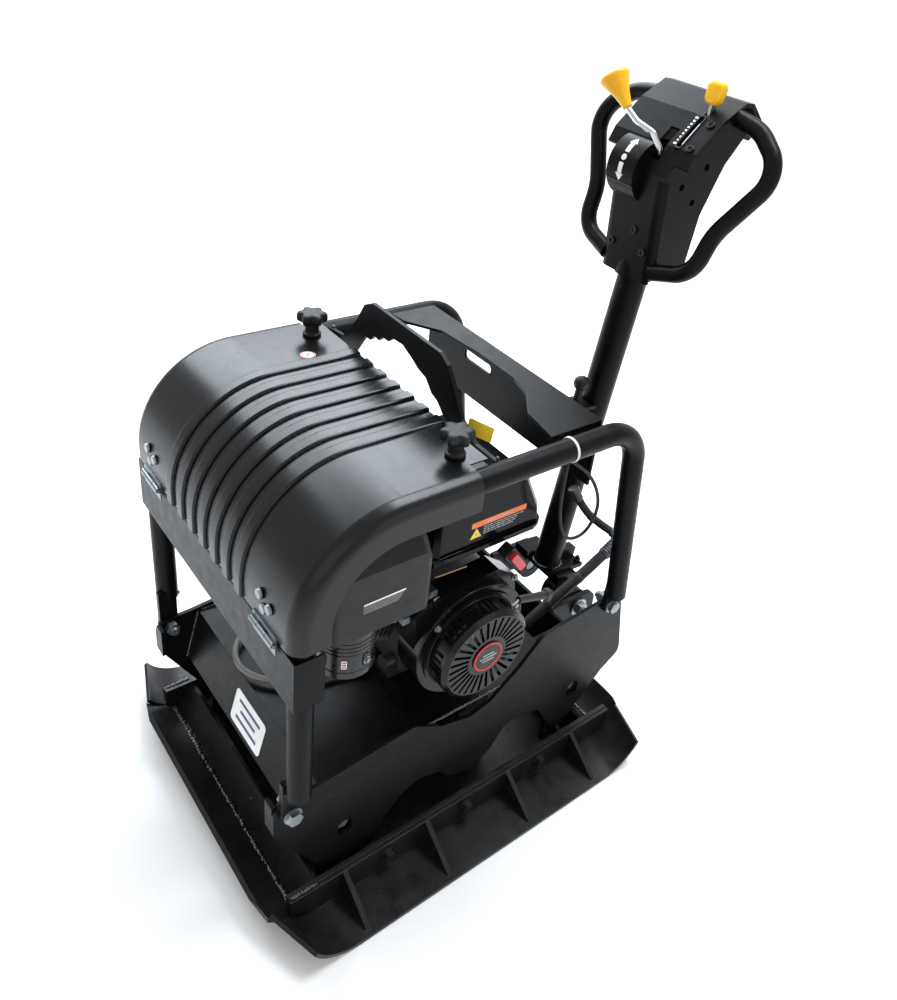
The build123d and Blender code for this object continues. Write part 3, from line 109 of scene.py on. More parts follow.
def ramp(tree, factor, stops):
    """A colour ramp through (place, value or colour) stops."""
    made = node(tree, "ShaderNodeValToRGB")
    elements = made.color_ramp.elements
    while len(elements) < len(stops):
        elements.new(0.5)
    for element, (place, value) in zip(elements, stops):
        element.position = place
        element.color = (value, value, value, 1) if isinstance(value, float) else (*value, 1)
    tree.links.new(factor, made.inputs["Fac"])
    return made.outputs["Color"]


def mix(tree, factor, first, second):
    """A colour between two; each input is a socket or a constant."""
    made = node(tree, "ShaderNodeMix", data_type="RGBA")
    for slot, value in ((MIX_FACTOR, factor), (MIX_FIRST, first), (MIX_SECOND, second)):
        if isinstance(value, bpy.types.NodeSocket):
            tree.links.new(value, made.inputs[slot])
        else:
            made.inputs[slot].default_value = value if slot == MIX_FACTOR else (*value, 1)
    return made.outputs[MIX_RESULT]


def times(tree, first, second):
    """The product of two values; each is a socket or a constant."""
    made = node(tree, "ShaderNodeMath", operation="MULTIPLY")
    for slot, value in ((0, first), (1, second)):
        if isinstance(value, bpy.types.NodeSocket):
            tree.links.new(value, made.inputs[slot])
        else:
            made.inputs[slot].default_value = value
    return made.outputs[0]


def add_bump(tree, shader, height, distance):
    """Relief too fine to be geometry."""
    made = node(tree, "ShaderNodeBump", Distance=distance, Strength=1.0)
    tree.links.new(height, made.inputs["Height"])
    tree.links.new(made.outputs["Normal"], shader.inputs["Normal"])


def upward(tree):
    """1 on surfaces that face up and 0 on walls, so that dust only settles where it can lie."""
    normal = node(tree, "ShaderNodeNewGeometry").outputs["Normal"]
    split = node(tree, "ShaderNodeSeparateXYZ")
    tree.links.new(normal, split.inputs[0])
    return ramp(tree, split.outputs["Z"], [(0.55, 0.0), (0.95, 1.0)])


def low_down(tree, top):
    """1 at the ground, fading to 0 at this height, for soil splashed on the lower parts."""
    place = node(tree, "ShaderNodeTexCoord")
    split = node(tree, "ShaderNodeSeparateXYZ")
    tree.links.new(place.outputs["Object"], split.inputs[0])
    scaled = times(tree, split.outputs["Z"], 1 / top)
    return ramp(tree, scaled, [(0.0, 1.0), (1.0, 0.0)])


def worn(name, base, roughness, metallic=0.0, grain=(900, 0.00006), blotch=0.35, dust=0.12, chips=0.0,
         coat=0.0, specular=0.5, soil=0.0, dust_colour=(0.32, 0.30, 0.27), brush=None, tint=None):
    """A used surface: uneven base colour, fine grain, scuffs in the gloss, settled dust and small chips."""
    made, tree, shader = new_material(name)
    place = coordinates(tree)
    broad = noise(tree, place, 9, 5, 0.6)
    fine = noise(tree, place, 140, 4, 0.6)
    darker = tuple(c * (1 - blotch) for c in base)
    lighter = tint or tuple(min(1, c * (1 + blotch)) for c in base)
    colour = mix(tree, ramp(tree, broad, [(0.35, 0.0), (0.68, 1.0)]), darker, lighter)
    if chips:
        chip = ramp(tree, noise(tree, place, 55, 6, 0.7), [(0.70 - chips, 0.0), (0.735 - chips, 1.0)])
        colour = mix(tree, chip, colour, (0.09, 0.085, 0.08))
    if dust:
        drifts = ramp(tree, noise(tree, place, 26, 6, 0.65), [(0.32, 0.0), (0.75, 1.0)])
        settled = times(tree, upward(tree), drifts)
        colour = mix(tree, times(tree, settled, dust), colour, dust_colour)
    if soil:
        splash = ramp(tree, noise(tree, place, 34, 8, 0.7), [(0.42, 0.0), (0.70, 1.0)])
        colour = mix(tree, times(tree, times(tree, low_down(tree, 0.30), splash), soil), colour, dust_colour)
    tree.links.new(colour, shader.inputs["Base Color"])
    stretch = brush or (1, 1, 1)
    smear = noise(tree, coordinates(tree, stretch), 42, 6, 0.65)
    low, high = roughness
    tree.links.new(ramp(tree, smear, [(0.30, float(low)), (0.72, float(high))]), shader.inputs["Roughness"])
    shader.inputs["Metallic"].default_value = metallic
    shader.inputs["Specular IOR Level"].default_value = specular
    shader.inputs["Coat Weight"].default_value = coat
    shader.inputs["Coat Roughness"].default_value = 0.12
    scale, depth = grain
    texture = noise(tree, coordinates(tree, stretch), scale, 3, 0.55)
    add_bump(tree, shader, texture if not chips else mix(tree, 0.25, texture, fine), depth)
    return made


def plain(name, base, roughness, metallic=0.0, grain=(700, 0.00003), coat=0.0, blotch=0.15):
    """Small clean parts, with slight variation only."""
    gloss = (roughness * 0.8, min(1.0, roughness * 1.25))
    return worn(name, base, gloss, metallic, grain, blotch, dust=0.04, coat=coat)


def braided(name, base, scale):
    """Crossing strands over a hose: two slanted wave fields that hide one another."""
    made, tree, shader = new_material(name)
    place = coordinates(tree)
    fields = []
    for turn in (0.78, -0.78):
        mapping = node(tree, "ShaderNodeMapping")
        mapping.inputs["Rotation"].default_value = (turn, 0.35 * turn, turn)
        tree.links.new(place, mapping.inputs["Vector"])
        wave = node(tree, "ShaderNodeTexWave", Scale=scale, Distortion=0.4)
        tree.links.new(mapping.outputs["Vector"], wave.inputs["Vector"])
        fields.append(wave.outputs["Fac"])
    weave = node(tree, "ShaderNodeMath", operation="MAXIMUM")
    tree.links.new(fields[0], weave.inputs[0])
    tree.links.new(fields[1], weave.inputs[1])
    dark = tuple(c * 0.25 for c in base)
    tree.links.new(mix(tree, weave.outputs[0], dark, base), shader.inputs["Base Color"])
    shader.inputs["Metallic"].default_value = 0.75
    shader.inputs["Roughness"].default_value = 0.42
    add_bump(tree, shader, weave.outputs[0], 0.0006)
    return made


def smoked(name):
    """Dark, nearly opaque plastic with a film of dirt."""
    made, tree, shader = new_material(name)
    place = coordinates(tree)
    dirty = ramp(tree, noise(tree, place, 30, 6, 0.7), [(0.3, 0.0), (0.8, 1.0)])
    colour = mix(tree, dirty, (0.004, 0.004, 0.005), (0.012, 0.012, 0.012))
    tree.links.new(colour, shader.inputs["Base Color"])
    tree.links.new(ramp(tree, dirty, [(0.0, 0.16), (1.0, 0.42)]), shader.inputs["Roughness"])
    shader.inputs["Transmission Weight"].default_value = 0.03
    shader.inputs["Coat Weight"].default_value = 0.2
    shader.inputs["Specular IOR Level"].default_value = 0.3
    return made


LOOKS = {
    "frame_paint": worn("black_powder_coat", (0.0036, 0.0038, 0.0042), (0.28, 0.42), grain=(520, 0.00008),
                        blotch=0.25, dust=0.010, chips=0.004, specular=0.10),
    "hood_paint": worn("graphite_hood", (0.0030, 0.0034, 0.0041), (0.24, 0.29), grain=(420, 0.00003),
                       blotch=0.10, dust=0.004, specular=0.29),
    "base_paint": worn("plate_paint", (0.0060, 0.0062, 0.0070), (0.24, 0.50), grain=(300, 0.00016),
                       blotch=0.40, dust=0.022, chips=0.012, specular=0.24, soil=0.018),
    "zinc": worn("zinc_plate", (0.22, 0.25, 0.27), (0.26, 0.48), 0.9, (800, 0.00004), 0.25, 0.02,
                 tint=(0.34, 0.37, 0.38)),
    "rubber": worn("moulded_rubber", (0.0085, 0.0085, 0.009), (0.50, 0.75), grain=(600, 0.00012), dust=0.04,
                   specular=0.35),
    "cast": worn("painted_casting", (0.010, 0.0105, 0.011), (0.42, 0.62), grain=(260, 0.0005), dust=0.05,
                 specular=0.35),
    "machined": worn("machined_steel", (0.40, 0.40, 0.41), (0.20, 0.34), 1.0, (300, 0.00003), 0.12, 0.0,
                     brush=(14, 1, 1)),
    "aluminium_cast": worn("dark_casting", (0.030, 0.031, 0.033), (0.38, 0.60), 0.35, (240, 0.0004), 0.3,
                           0.05, specular=0.4),
    "black_plastic": worn("grained_plastic", (0.0068, 0.0070, 0.0076), (0.40, 0.56), grain=(1300, 0.00010),
                          dust=0.015, specular=0.28),
    "black_gloss": worn("starter_enamel", (0.0030, 0.0030, 0.0034), (0.14, 0.24), grain=(500, 0.00005),
                        blotch=0.20, dust=0.008, specular=0.26),
    "tank_paint": worn("tank_enamel", (0.0022, 0.0022, 0.0026), (0.14, 0.22), grain=(300, 0.00004),
                       blotch=0.2, dust=0.004, specular=0.10),
    "clear_bowl": smoked("smoked_bowl"),
    "red_plastic": plain("red_plastic", (0.55, 0.012, 0.014), 0.32, coat=0.2),
    "grip_brown": plain("grip_plastic", (0.016, 0.014, 0.014), 0.50),
    "belt_rubber": worn("belt_rubber", (0.012, 0.012, 0.013), (0.60, 0.80), grain=(900, 0.0002), dust=0.04),
    "muffler_steel": worn("heated_steel", (0.12, 0.105, 0.09), (0.40, 0.62), 0.8, (300, 0.0001), 0.35, 0.05),
    "braid": braided("steel_braid", (0.26, 0.26, 0.235), 420),
    "chrome": worn("chrome_rod", (0.66, 0.68, 0.68), (0.12, 0.24), 1.0, (300, 0.00002), 0.12, 0.0),
    "knob_yellow": worn("yellow_knob", (0.86, 0.41, 0.004), (0.28, 0.42), grain=(900, 0.00004), blotch=0.12,
                        dust=0.02, coat=0.10, tint=(0.94, 0.51, 0.008), specular=0.3),
}
WHITE_PRINT = plain("white_print", (0.80, 0.80, 0.78), 0.45)
GREY_PRINT = plain("grey_print", (0.36, 0.36, 0.35), 0.5)
ORANGE_PRINT = plain("orange_print", (0.78, 0.16, 0.015), 0.4)
YELLOW_PRINT = plain("yellow_print", (0.85, 0.58, 0.03), 0.4)
RED_PRINT = plain("red_print", (0.58, 0.02, 0.02), 0.4)
DARK_PRINT = plain("dark_print", (0.010, 0.010, 0.010), 0.5)
NYLON = plain("white_nylon", (0.62, 0.62, 0.60), 0.5)
BLACK_NYLON = plain("black_nylon", (0.010, 0.010, 0.010), 0.5)
BLUE_PRINT = plain("blue_print", (0.030, 0.045, 0.17), 0.4)
WELD = worn("weld_bead", (0.0070, 0.0074, 0.0085), (0.12, 0.30), grain=(420, 0.00030), dust=0.02,
            specular=0.9, coat=0.3)
BRIGHT = worn("bright_steel", (0.52, 0.53, 0.53), (0.25, 0.45), 0.95, (500, 0.00004), 0.2, 0.02)
COPPER = plain("control_rod", (0.42, 0.26, 0.13), 0.4, metallic=0.8)
DARK_STEEL = worn("dark_steel", (0.075, 0.080, 0.088), (0.28, 0.48), 0.85, (500, 0.00006), 0.25, 0.02)

for part in frame["record"]["subparts"]:
    shape = nodes[part["node"]]
    shape.data.materials.clear()
    shape.data.materials.append(LOOKS[part["material_slot"]])


# ---------------------------------------------------------------- CAD nodes' edges
SHARP = {"exciter_gear_front", "exciter_gear_rear", "drive_belts", "rubber_buffers", "exciter_bearings"}
for name, shape in nodes.items():
    weld = shape.modifiers.new("weld", "WELD")
    weld.merge_threshold = WELD_DISTANCE
    if name not in SHARP:
        bevel = shape.modifiers.new("bevel", "BEVEL")
        bevel.width = CAD_BEVEL
        bevel.segments = 2
        bevel.limit_method = "ANGLE"
        bevel.angle_limit = math.radians(CAD_BEVEL_ANGLE)
        bevel.use_clamp_overlap = True
        bevel.harden_normals = False
    smooth = shape.modifiers.new("normals", "WEIGHTED_NORMAL")
    smooth.keep_sharp = True


# ---------------------------------------------------------------- piece helpers
def piece(name, bm, look, body, bevel=None, smooth=30):
    """A mesh from bmesh, with its material, its modifiers and the CAD body it rides on."""
    mesh = bpy.data.meshes.new(name)
    bmesh.ops.recalc_face_normals(bm, faces=bm.faces[:])
    bm.to_mesh(mesh)
    bm.free()
    made = bpy.data.objects.new(name, mesh)
    bpy.context.scene.collection.objects.link(made)
    mesh.materials.append(look)
    for face in mesh.polygons:
        face.use_smooth = True
    if bevel:
        edge = made.modifiers.new("bevel", "BEVEL")
        edge.width = bevel
        edge.segments = 2
        edge.limit_method = "ANGLE"
        edge.angle_limit = math.radians(smooth)
    normals = made.modifiers.new("normals", "WEIGHTED_NORMAL")
    normals.keep_sharp = True
    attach(made, body)
    return made


def frame_at(origin, normal, up=(0, 0, 1)):
    """A matrix with Z along normal and Y as near to up as it can be; an upright normal takes +Y as up."""
    z = Vector(normal).normalized()
    x = Vector(up).cross(z)
    if x.length < 1e-4:
        x = Vector((0, 1, 0)).cross(z)
    x.normalize()
    y = z.cross(x)
    return Matrix.Translation(origin) @ Matrix((x, y, z)).transposed().to_4x4()


def face_at(x, y, z, normal, up=(0, 0, 1)):
    """frame_at for a place in millimetres."""
    return frame_at(Vector((x, y, z)) * MM, normal, up)


def rounded_outline(width, height, radius, steps=5):
    """Corner points of a rounded rectangle, anticlockwise."""
    points = []
    for sx, sy, start in ((1, 1, 0), (-1, 1, 90), (-1, -1, 180), (1, -1, 270)):
        centre = Vector((sx * (width / 2 - radius), sy * (height / 2 - radius), 0))
        for i in range(steps + 1):
            angle = math.radians(start + 90 * i / steps)
            points.append(centre + radius * Vector((math.cos(angle), math.sin(angle), 0)))
    return points


def add_prism(bm, matrix, outline, low, high):
    """A closed prism on the given outline between two heights along the matrix's Z."""
    bottom = [bm.verts.new(matrix @ (Vector((p[0], p[1], low)))) for p in outline]
    top = [bm.verts.new(matrix @ (Vector((p[0], p[1], high)))) for p in outline]
    count = len(outline)
    bm.faces.new(bottom[::-1])
    bm.faces.new(top)
    for i in range(count):
        bm.faces.new((bottom[i], bottom[(i + 1) % count], top[(i + 1) % count], top[i]))


def circle(radius, count=32):
    """Points on a circle about the origin."""
    turn = 2 * math.pi / count
    return [(radius * math.cos(i * turn), radius * math.sin(i * turn)) for i in range(count)]


def add_lathe(bm, matrix, profile, count=32):
    """A closed body of revolution about the matrix's Z; the profile is (radius, height) from axis to axis."""
    rings = []
    for radius, height in profile:
        if radius < 1e-6:
            rings.append([bm.verts.new(matrix @ Vector((0, 0, height)))])
        else:
            rings.append([bm.verts.new(matrix @ Vector((x, y, height))) for x, y in circle(radius, count)])
    for low, high in zip(rings, rings[1:]):
        for i in range(count):
            j = (i + 1) % count
            corners = [low[i % len(low)], low[j % len(low)], high[j % len(high)], high[i % len(high)]]
            unique = list(dict.fromkeys(corners))
            if len(unique) > 2:
                bm.faces.new(unique)


def add_torus(bm, matrix, radius, thickness, count=72, sides=10):
    """A closed ring about the matrix's Z."""
    rings = []
    for x, y in circle(1.0, count):
        ring = []
        for a, b in circle(thickness, sides):
            ring.append(bm.verts.new(matrix @ Vector((x * (radius + a), y * (radius + a), b))))
        rings.append(ring)
    for i in range(count):
        for j in range(sides):
            k = (i + 1) % count
            m = (j + 1) % sides
            bm.faces.new((rings[i][j], rings[k][j], rings[k][m], rings[i][m]))


def add_screw(bm, origin, normal, radius, height, sides=6):
    """A hex head on its washer, chamfered at the top."""
    matrix = frame_at(origin, normal)
    washer, thickness = 1.45 * radius, 0.22 * height
    add_lathe(bm, matrix, [(0, 0), (washer, 0), (washer, thickness), (0, thickness)], 28)
    hexagon = [(radius, 0.2 * height), (radius, 0.9 * height), (0.84 * radius, height)]
    add_lathe(bm, matrix, [(0, 0.2 * height), *hexagon, (0, height)], sides)


def add_socket_screw(bm, origin, normal, radius, height):
    """A cylinder head screw with its hexagon socket."""
    matrix = frame_at(origin, normal)
    rim = [(0, 0), (radius, 0), (radius, 0.88 * height), (0.88 * radius, height), (0.55 * radius, height)]
    add_lathe(bm, matrix, [*rim, (0.50 * radius, 0.45 * height), (0, 0.45 * height)], 24)


def weld_bead(name, points, radius, body, seed=1):
    """A line of overlapping flat ripples, like the runs of a hand weld."""
    rng = random.Random(seed)
    bm = bmesh.new()
    line = [Vector(p) * MM for p in points]
    step = radius * 0.8 * MM
    for start, end in zip(line, line[1:]):
        run = end - start
        count = max(2, int(run.length / step))
        along = run.normalized()
        turn = along.to_track_quat("X", "Z").to_matrix().to_4x4()
        for i in range(count + 1):
            size = radius * MM * rng.uniform(0.66, 1.18)
            stray = Vector([rng.uniform(-0.22, 0.22) * size for _ in range(3)])
            place = start + run * (i / count) + stray
            shape = Matrix.Translation(place) @ turn @ Matrix.Diagonal((0.78 * size, size, size, 1))
            bmesh.ops.create_icosphere(bm, subdivisions=2, radius=1.0, matrix=shape)
    return piece(name, bm, WELD, body)


def tube(name, points, radius, look, body, order=3, resolution=12):
    """A round bar or cable along a smooth spline through the given control points, in metres."""
    curve = bpy.data.curves.new(name, "CURVE")
    curve.dimensions = "3D"
    spline = curve.splines.new("NURBS")
    spline.points.add(len(points) - 1)
    for target, point in zip(spline.points, points):
        target.co = (*point, 1)
    spline.order_u = order
    spline.use_endpoint_u = True
    curve.resolution_u = resolution
    curve.bevel_depth = radius
    curve.bevel_resolution = 6
    curve.use_fill_caps = True
    curve.materials.append(look)
    made = bpy.data.objects.new(name, curve)
    bpy.context.scene.collection.objects.link(made)
    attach(made, body)
    return made


def millimetres(points):
    """Points written in millimetres, as metres."""
    return [tuple(c * MM for c in p) for p in points]


# ---------------------------------------------------------------- camera, light and floor
def build_camera():
    """The photograph's own view: from the front right, above, with the camera a little rolled."""
    data = bpy.data.cameras.new("camera")
    camera = bpy.data.objects.new("camera", data)
    bpy.context.scene.collection.objects.link(camera)
    place = Vector((1.1401, -0.8469, 1.6787))
    forward = (Vector((-0.0020, 0.2407, 0.7660)) - place).normalized()
    level = forward.cross(Vector((0, 0, 1))).normalized()
    above = level.cross(forward)
    roll = math.radians(8.5)
    right = math.cos(roll) * level + math.sin(roll) * above
    up = right.cross(forward)
    camera.matrix_world = Matrix.Translation(place) @ Matrix((right, up, -forward)).transposed().to_4x4()
    data.sensor_width = 36
    data.lens = 32.6
    data.shift_x = -0.0645
    data.shift_y = -0.0919
    bpy.context.scene.camera = camera


def area_light(name, place, target, size, power, colour=(1, 1, 1)):
    data = bpy.data.lights.new(name, "AREA")
    data.shape = "RECTANGLE"
    data.size, data.size_y = size
    data.energy = power
    data.color = colour
    lamp = bpy.data.objects.new(name, data)
    bpy.context.scene.collection.objects.link(lamp)
    lamp.location = place
    lamp.rotation_euler = (Vector(target) - Vector(place)).to_track_quat("-Z", "Y").to_euler()


def build_studio():
    """Pale floor, four large soft panels, and a surround that is white ahead and greyer behind."""
    world = bpy.data.worlds.new("studio")
    bpy.context.scene.world = world
    world.use_nodes = True
    background = world.node_tree.nodes["Background"]
    tree = world.node_tree
    ahead = node(tree, "ShaderNodeVectorMath", operation="DOT_PRODUCT")
    tree.links.new(node(tree, "ShaderNodeTexCoord").outputs["Generated"], ahead.inputs[0])
    ahead.inputs[1].default_value = (-0.72, 0.69, 0.0)
    surround = ramp(tree, ahead.outputs["Value"], [(0.35, 0.60), (0.80, 1.0)])
    tree.links.new(surround, background.inputs["Color"])
    background.inputs["Strength"].default_value = 1.16
    bpy.context.scene.view_settings.view_transform = "Standard"
    area_light("sky_panel", (0.0, 1.4, 4.2), (0.1, -0.2, 0.8), (3.0, 1.2), 190, (0.88, 0.94, 1.0))
    area_light("far_panel", (-4.95, 1.05, 4.70), (0, -0.1, 0.85), (6.6, 2.3), 500, (0.84, 0.92, 1.0))
    area_light("front_panel", (2.4, -3.2, 2.6), (0, -0.1, 0.5), (4.0, 3.0), 24, (1.0, 0.98, 0.95))
    area_light("side_panel", (3.6, 1.4, 1.6), (0.1, 0.2, 0.6), (2.5, 2.5), 14)
    bm = bmesh.new()
    add_prism(bm, Matrix.Translation((9.5, -9.0, 0)), rounded_outline(30, 30, 6, 12), -0.06, -0.0005)
    mesh = bpy.data.meshes.new("studio_floor")
    bmesh.ops.recalc_face_normals(bm, faces=bm.faces[:])
    bm.to_mesh(mesh)
    bm.free()
    made, tree, shader = new_material("pale_floor")
    patches = noise(tree, coordinates(tree), 1.6, 5, 0.5)
    tree.links.new(mix(tree, patches, (0.88, 0.88, 0.88), (0.92, 0.92, 0.92)), shader.inputs["Base Color"])
    shader.inputs["Roughness"].default_value = 0.75
    shader.inputs["Specular IOR Level"].default_value = 0.2
    mesh.materials.append(made)
    floor = bpy.data.objects.new("studio_floor", mesh)
    bpy.context.scene.collection.objects.link(floor)


# ---------------------------------------------------------------- hoses and cables
LOWER_HOSE = [(150, 470, 430), (150, 400, 390), (147, 330, 352), (136, 262, 300), (124, 206, 246)]
UPPER_HOSE = [(46, 420, 528), (65, 436, 487), (100, 457, 459), (150, 484, 442)]
DRAIN_HOSE = [(-150, -172, 330), (-142, -240, 318), (-120, -304, 316), (-58, -334, 316), (4, -306, 314),
              (40, -250, 314), (54, -180, 318), (64, -121, 322)]
CABLE = [(262, 120, 846), (262, 180, 804), (262, 230, 742), (262, 248, 682), (262, 222, 634),
         (262, 172, 640), (262, 146, 690), (262, 136, 764), (260, 142, 838)]


def add_ferrule(bm, at, towards, radius, length):
    """A crimped collar with pressed rings, and the hex of its union behind it."""
    matrix = frame_at(Vector(at) * MM, (Vector(towards) - Vector(at)))
    profile = [(0, -0.30), (1.12, -0.30), (1.12, -0.02), (0.96, 0.0)]
    for i in range(5):
        start = 0.08 + 0.17 * i
        profile += [(1.0, start), (1.06, start + 0.03), (1.06, start + 0.10), (0.98, start + 0.13)]
    profile += [(0.97, 0.97), (0.90, 1.0), (0, 1.0)]
    add_lathe(bm, matrix, [(r * radius * MM, h * length * MM) for r, h in profile], 30)


def spline_length(curve):
    """The length of a curve object's own line, read from Blender with no bevel."""
    bare = curve.copy()
    bare.data = curve.data.copy()
    bare.data.bevel_depth = 0
    mesh = bpy.data.meshes.new_from_object(bare)
    points = [v.co for v in mesh.vertices]
    bpy.data.objects.remove(bare)
    return sum((b - a).length for a, b in zip(points, points[1:]))


def build_cords():
    """The two hydraulic hoses, the oil drain hose and the throttle cable, with their end fittings."""
    def cord(name, route, radius, slot):
        return tube(name, millimetres(route), radius * MM, LOOKS[slot], "deck", resolution=24)

    lower = cord("hydraulic_hose_lower", LOWER_HOSE, 12, "rubber")
    upper = cord("hydraulic_hose_upper", UPPER_HOSE, 9, "rubber")
    drain = cord("oil_drain_hose", DRAIN_HOSE, 6, "braid")
    cable = cord("throttle_cable_sheath", CABLE, 3.25, "rubber")
    for hose in (lower, upper):
        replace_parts(hose, "hydraulic_hoses")
    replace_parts(drain, "drain_hose")
    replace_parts(cable, "throttle_cable")

    bm = bmesh.new()
    add_ferrule(bm, LOWER_HOSE[0], LOWER_HOSE[1], 14, 38)
    lower_end = piece("hose_ferrule_lower", bm, DARK_STEEL, "deck", 0.4 * MM)
    bm = bmesh.new()
    add_ferrule(bm, UPPER_HOSE[-1], UPPER_HOSE[-2], 11, 26)
    elbow = face_at(150, 482, 438, (0, 0.87, 0.5))
    add_lathe(bm, elbow, [(0, -0.013), (0.0115, -0.011), (0.0135, 0), (0.0115, 0.011), (0, 0.013)], 24)
    upper_end = piece("hose_union", bm, DARK_STEEL, "deck", 0.4 * MM)
    bm = bmesh.new()
    add_ferrule(bm, UPPER_HOSE[0], UPPER_HOSE[1], 11, 26)
    top_end = piece("hose_ferrule_column", bm, DARK_STEEL, "deck", 0.4 * MM)
    bm = bmesh.new()
    add_ferrule(bm, DRAIN_HOSE[-1], DRAIN_HOSE[-2], 8, 18)
    drain_root = piece("drain_fitting", bm, LOOKS["zinc"], "deck", 0.3 * MM)
    bm = bmesh.new()
    add_ferrule(bm, DRAIN_HOSE[0], DRAIN_HOSE[1], 8, 18)
    add_screw(bm, Vector((-150, -166, 331)) * MM, (0.1, 0.97, 0.17), 9 * MM, 9 * MM)
    drain_plug = piece("drain_plug", bm, LOOKS["zinc"], "deck", 0.3 * MM)
    bm = bmesh.new()
    post = [(-4, 0), (4, 0), (4, 22), (-4, 22)]
    add_prism(bm, face_at(-150, -184, 300, (0, -1, 0)), millimetres(post), 0, 2 * MM)
    add_torus(bm, face_at(-149.5, -185, 327, (0, 1, 0.17)), 7.6 * MM, 1.3 * MM, 32)
    piece("drain_hose_clip", bm, LOOKS["zinc"], "deck", 0.3 * MM)

    cords = (
        (lower, LOWER_HOSE[0], 24, "object", "stiff", [lower_end]),
        (upper, UPPER_HOSE[-1], 18, "fitting", "stiff", [upper_end, top_end]),
        (drain, DRAIN_HOSE[-1], 12, "plug", "medium", [drain_root, drain_plug]),
        (cable, CABLE[0], 6.5, "object", "medium", []),
    )
    for line, leaves, diameter, end, stiffness, pieces in cords:
        spline_length(line)


# ---------------------------------------------------------------- printed labels
def add_bar(bm, matrix, x, y, width, height, low=0.0, high=PRINT_HEIGHT):
    """A thin rounded bar lying on a surface, its middle at (x, y) in millimetres."""
    radius = min(width, height) * 0.18
    outline = [(p.x + x, p.y + y) for p in rounded_outline(width, height, radius, 3)]
    add_prism(bm, matrix, millimetres(outline), low * MM, high * MM)


def build_tank_label():
    """Generic warning strip: orange bar, yellow triangle and four rows of grey lines without any letters."""
    face = frame_at(Vector((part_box("fuel_tank")[1].x / MM - 8, 45, 702)) * MM, (1, 0, 0))
    bm = bmesh.new()
    add_bar(bm, face, 0, 9.5, 124, 12)
    piece("tank_strip", bm, ORANGE_PRINT, "deck")
    bm = bmesh.new()
    add_prism(bm, face, millimetres([(-63, -19), (-38, -19), (-50.5, 2)]), 0, PRINT_HEIGHT * MM)
    piece("tank_triangle", bm, YELLOW_PRINT, "deck")
    bm = bmesh.new()
    rng = random.Random(4)
    for row in range(4):
        x = -34.0
        while x < 50 - 6 * row:
            run = rng.uniform(4, 10)
            add_bar(bm, face, x + run / 2, -0.4 - 4.8 * row, run, 2.2)
            x += run + 1.8
    add_bar(bm, face, -50.5, -11, 2, 9, 0.3, 0.5)
    for dash in range(9):
        add_bar(bm, face, -24 + 6.4 * dash, 9.5, 4.4, 3.6, 0.3, 0.5)
    piece("tank_small_print", bm, GREY_PRINT, "deck")


def build_filter_label():
    """A bright line over five finer ones on the air filter box."""
    face = frame_at(Vector((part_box("air_filter_box")[1].x / MM, -236, 700)) * MM, (1, 0, 0))
    bm = bmesh.new()
    add_bar(bm, face, 0, 9.5, 76, 2.8)
    piece("filter_print", bm, WHITE_PRINT, "deck")
    bm = bmesh.new()
    for row in range(1, 6):
        add_bar(bm, face, -1.2 * row, 9.5 - 3.3 * row, 76 - 2.4 * row, 0.8)
    piece("filter_lines", bm, GREY_PRINT, "deck")


def build_front_label():
    """A blank rounded plate on the deck's sloping front wall."""
    middle = Vector((12.5, -343.2, 233.5))
    face = frame_at(middle * MM, (0, -112, 29), (0, 29, 112))
    bm = bmesh.new()
    outline = rounded_outline(120, 74, 9)
    add_prism(bm, face, [p * MM for p in outline], 0, 0.6 * MM)
    piece("front_plate", bm, WHITE_PRINT, "deck", bevel=0.3 * MM)
    bm = bmesh.new()
    for row, width in enumerate((84, 60, 84)):
        add_bar(bm, face, 0, 19 - 19 * row, width, 7.0, 0.6, 0.8)
    piece("front_plate_print", bm, BLUE_PRINT, "deck")


def build_badge():
    """The starter's round badge: a red ring round a dark dish with three plain bars."""
    centre = Vector((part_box("recoil_cover")[1].x, STARTER_Y * MM, STARTER_Z * MM))
    face = frame_at(centre, (1, 0, 0))
    bm = bmesh.new()
    add_torus(bm, face, 30.0 * MM, 2.0 * MM, 72, 12)
    piece("badge_ring", bm, RED_PRINT, "deck")
    bm = bmesh.new()
    add_lathe(bm, face, [(0, 0), (29 * MM, 0), (29 * MM, 0.3 * MM), (26 * MM, 0.9 * MM), (0, 1.4 * MM)], 64)
    piece("badge_dish", bm, DARK_PRINT, "deck")
    bm = bmesh.new()
    for y, width in ((7, 26), (0, 38), (-7, 26)):
        add_bar(bm, face, 0, y, width, 2.6, 1.0, 1.9)
    piece("badge_bars", bm, GREY_PRINT, "deck")


def rim_frame(degrees, lift):
    """A frame on the travel quadrant's rim, at an angle up from the front."""
    angle = math.radians(degrees)
    normal = Vector((0, -math.cos(angle), math.sin(angle)))
    return frame_at((Vector(QUADRANT_CENTRE) + normal * (QUADRANT_RADIUS + lift)) * MM, normal)


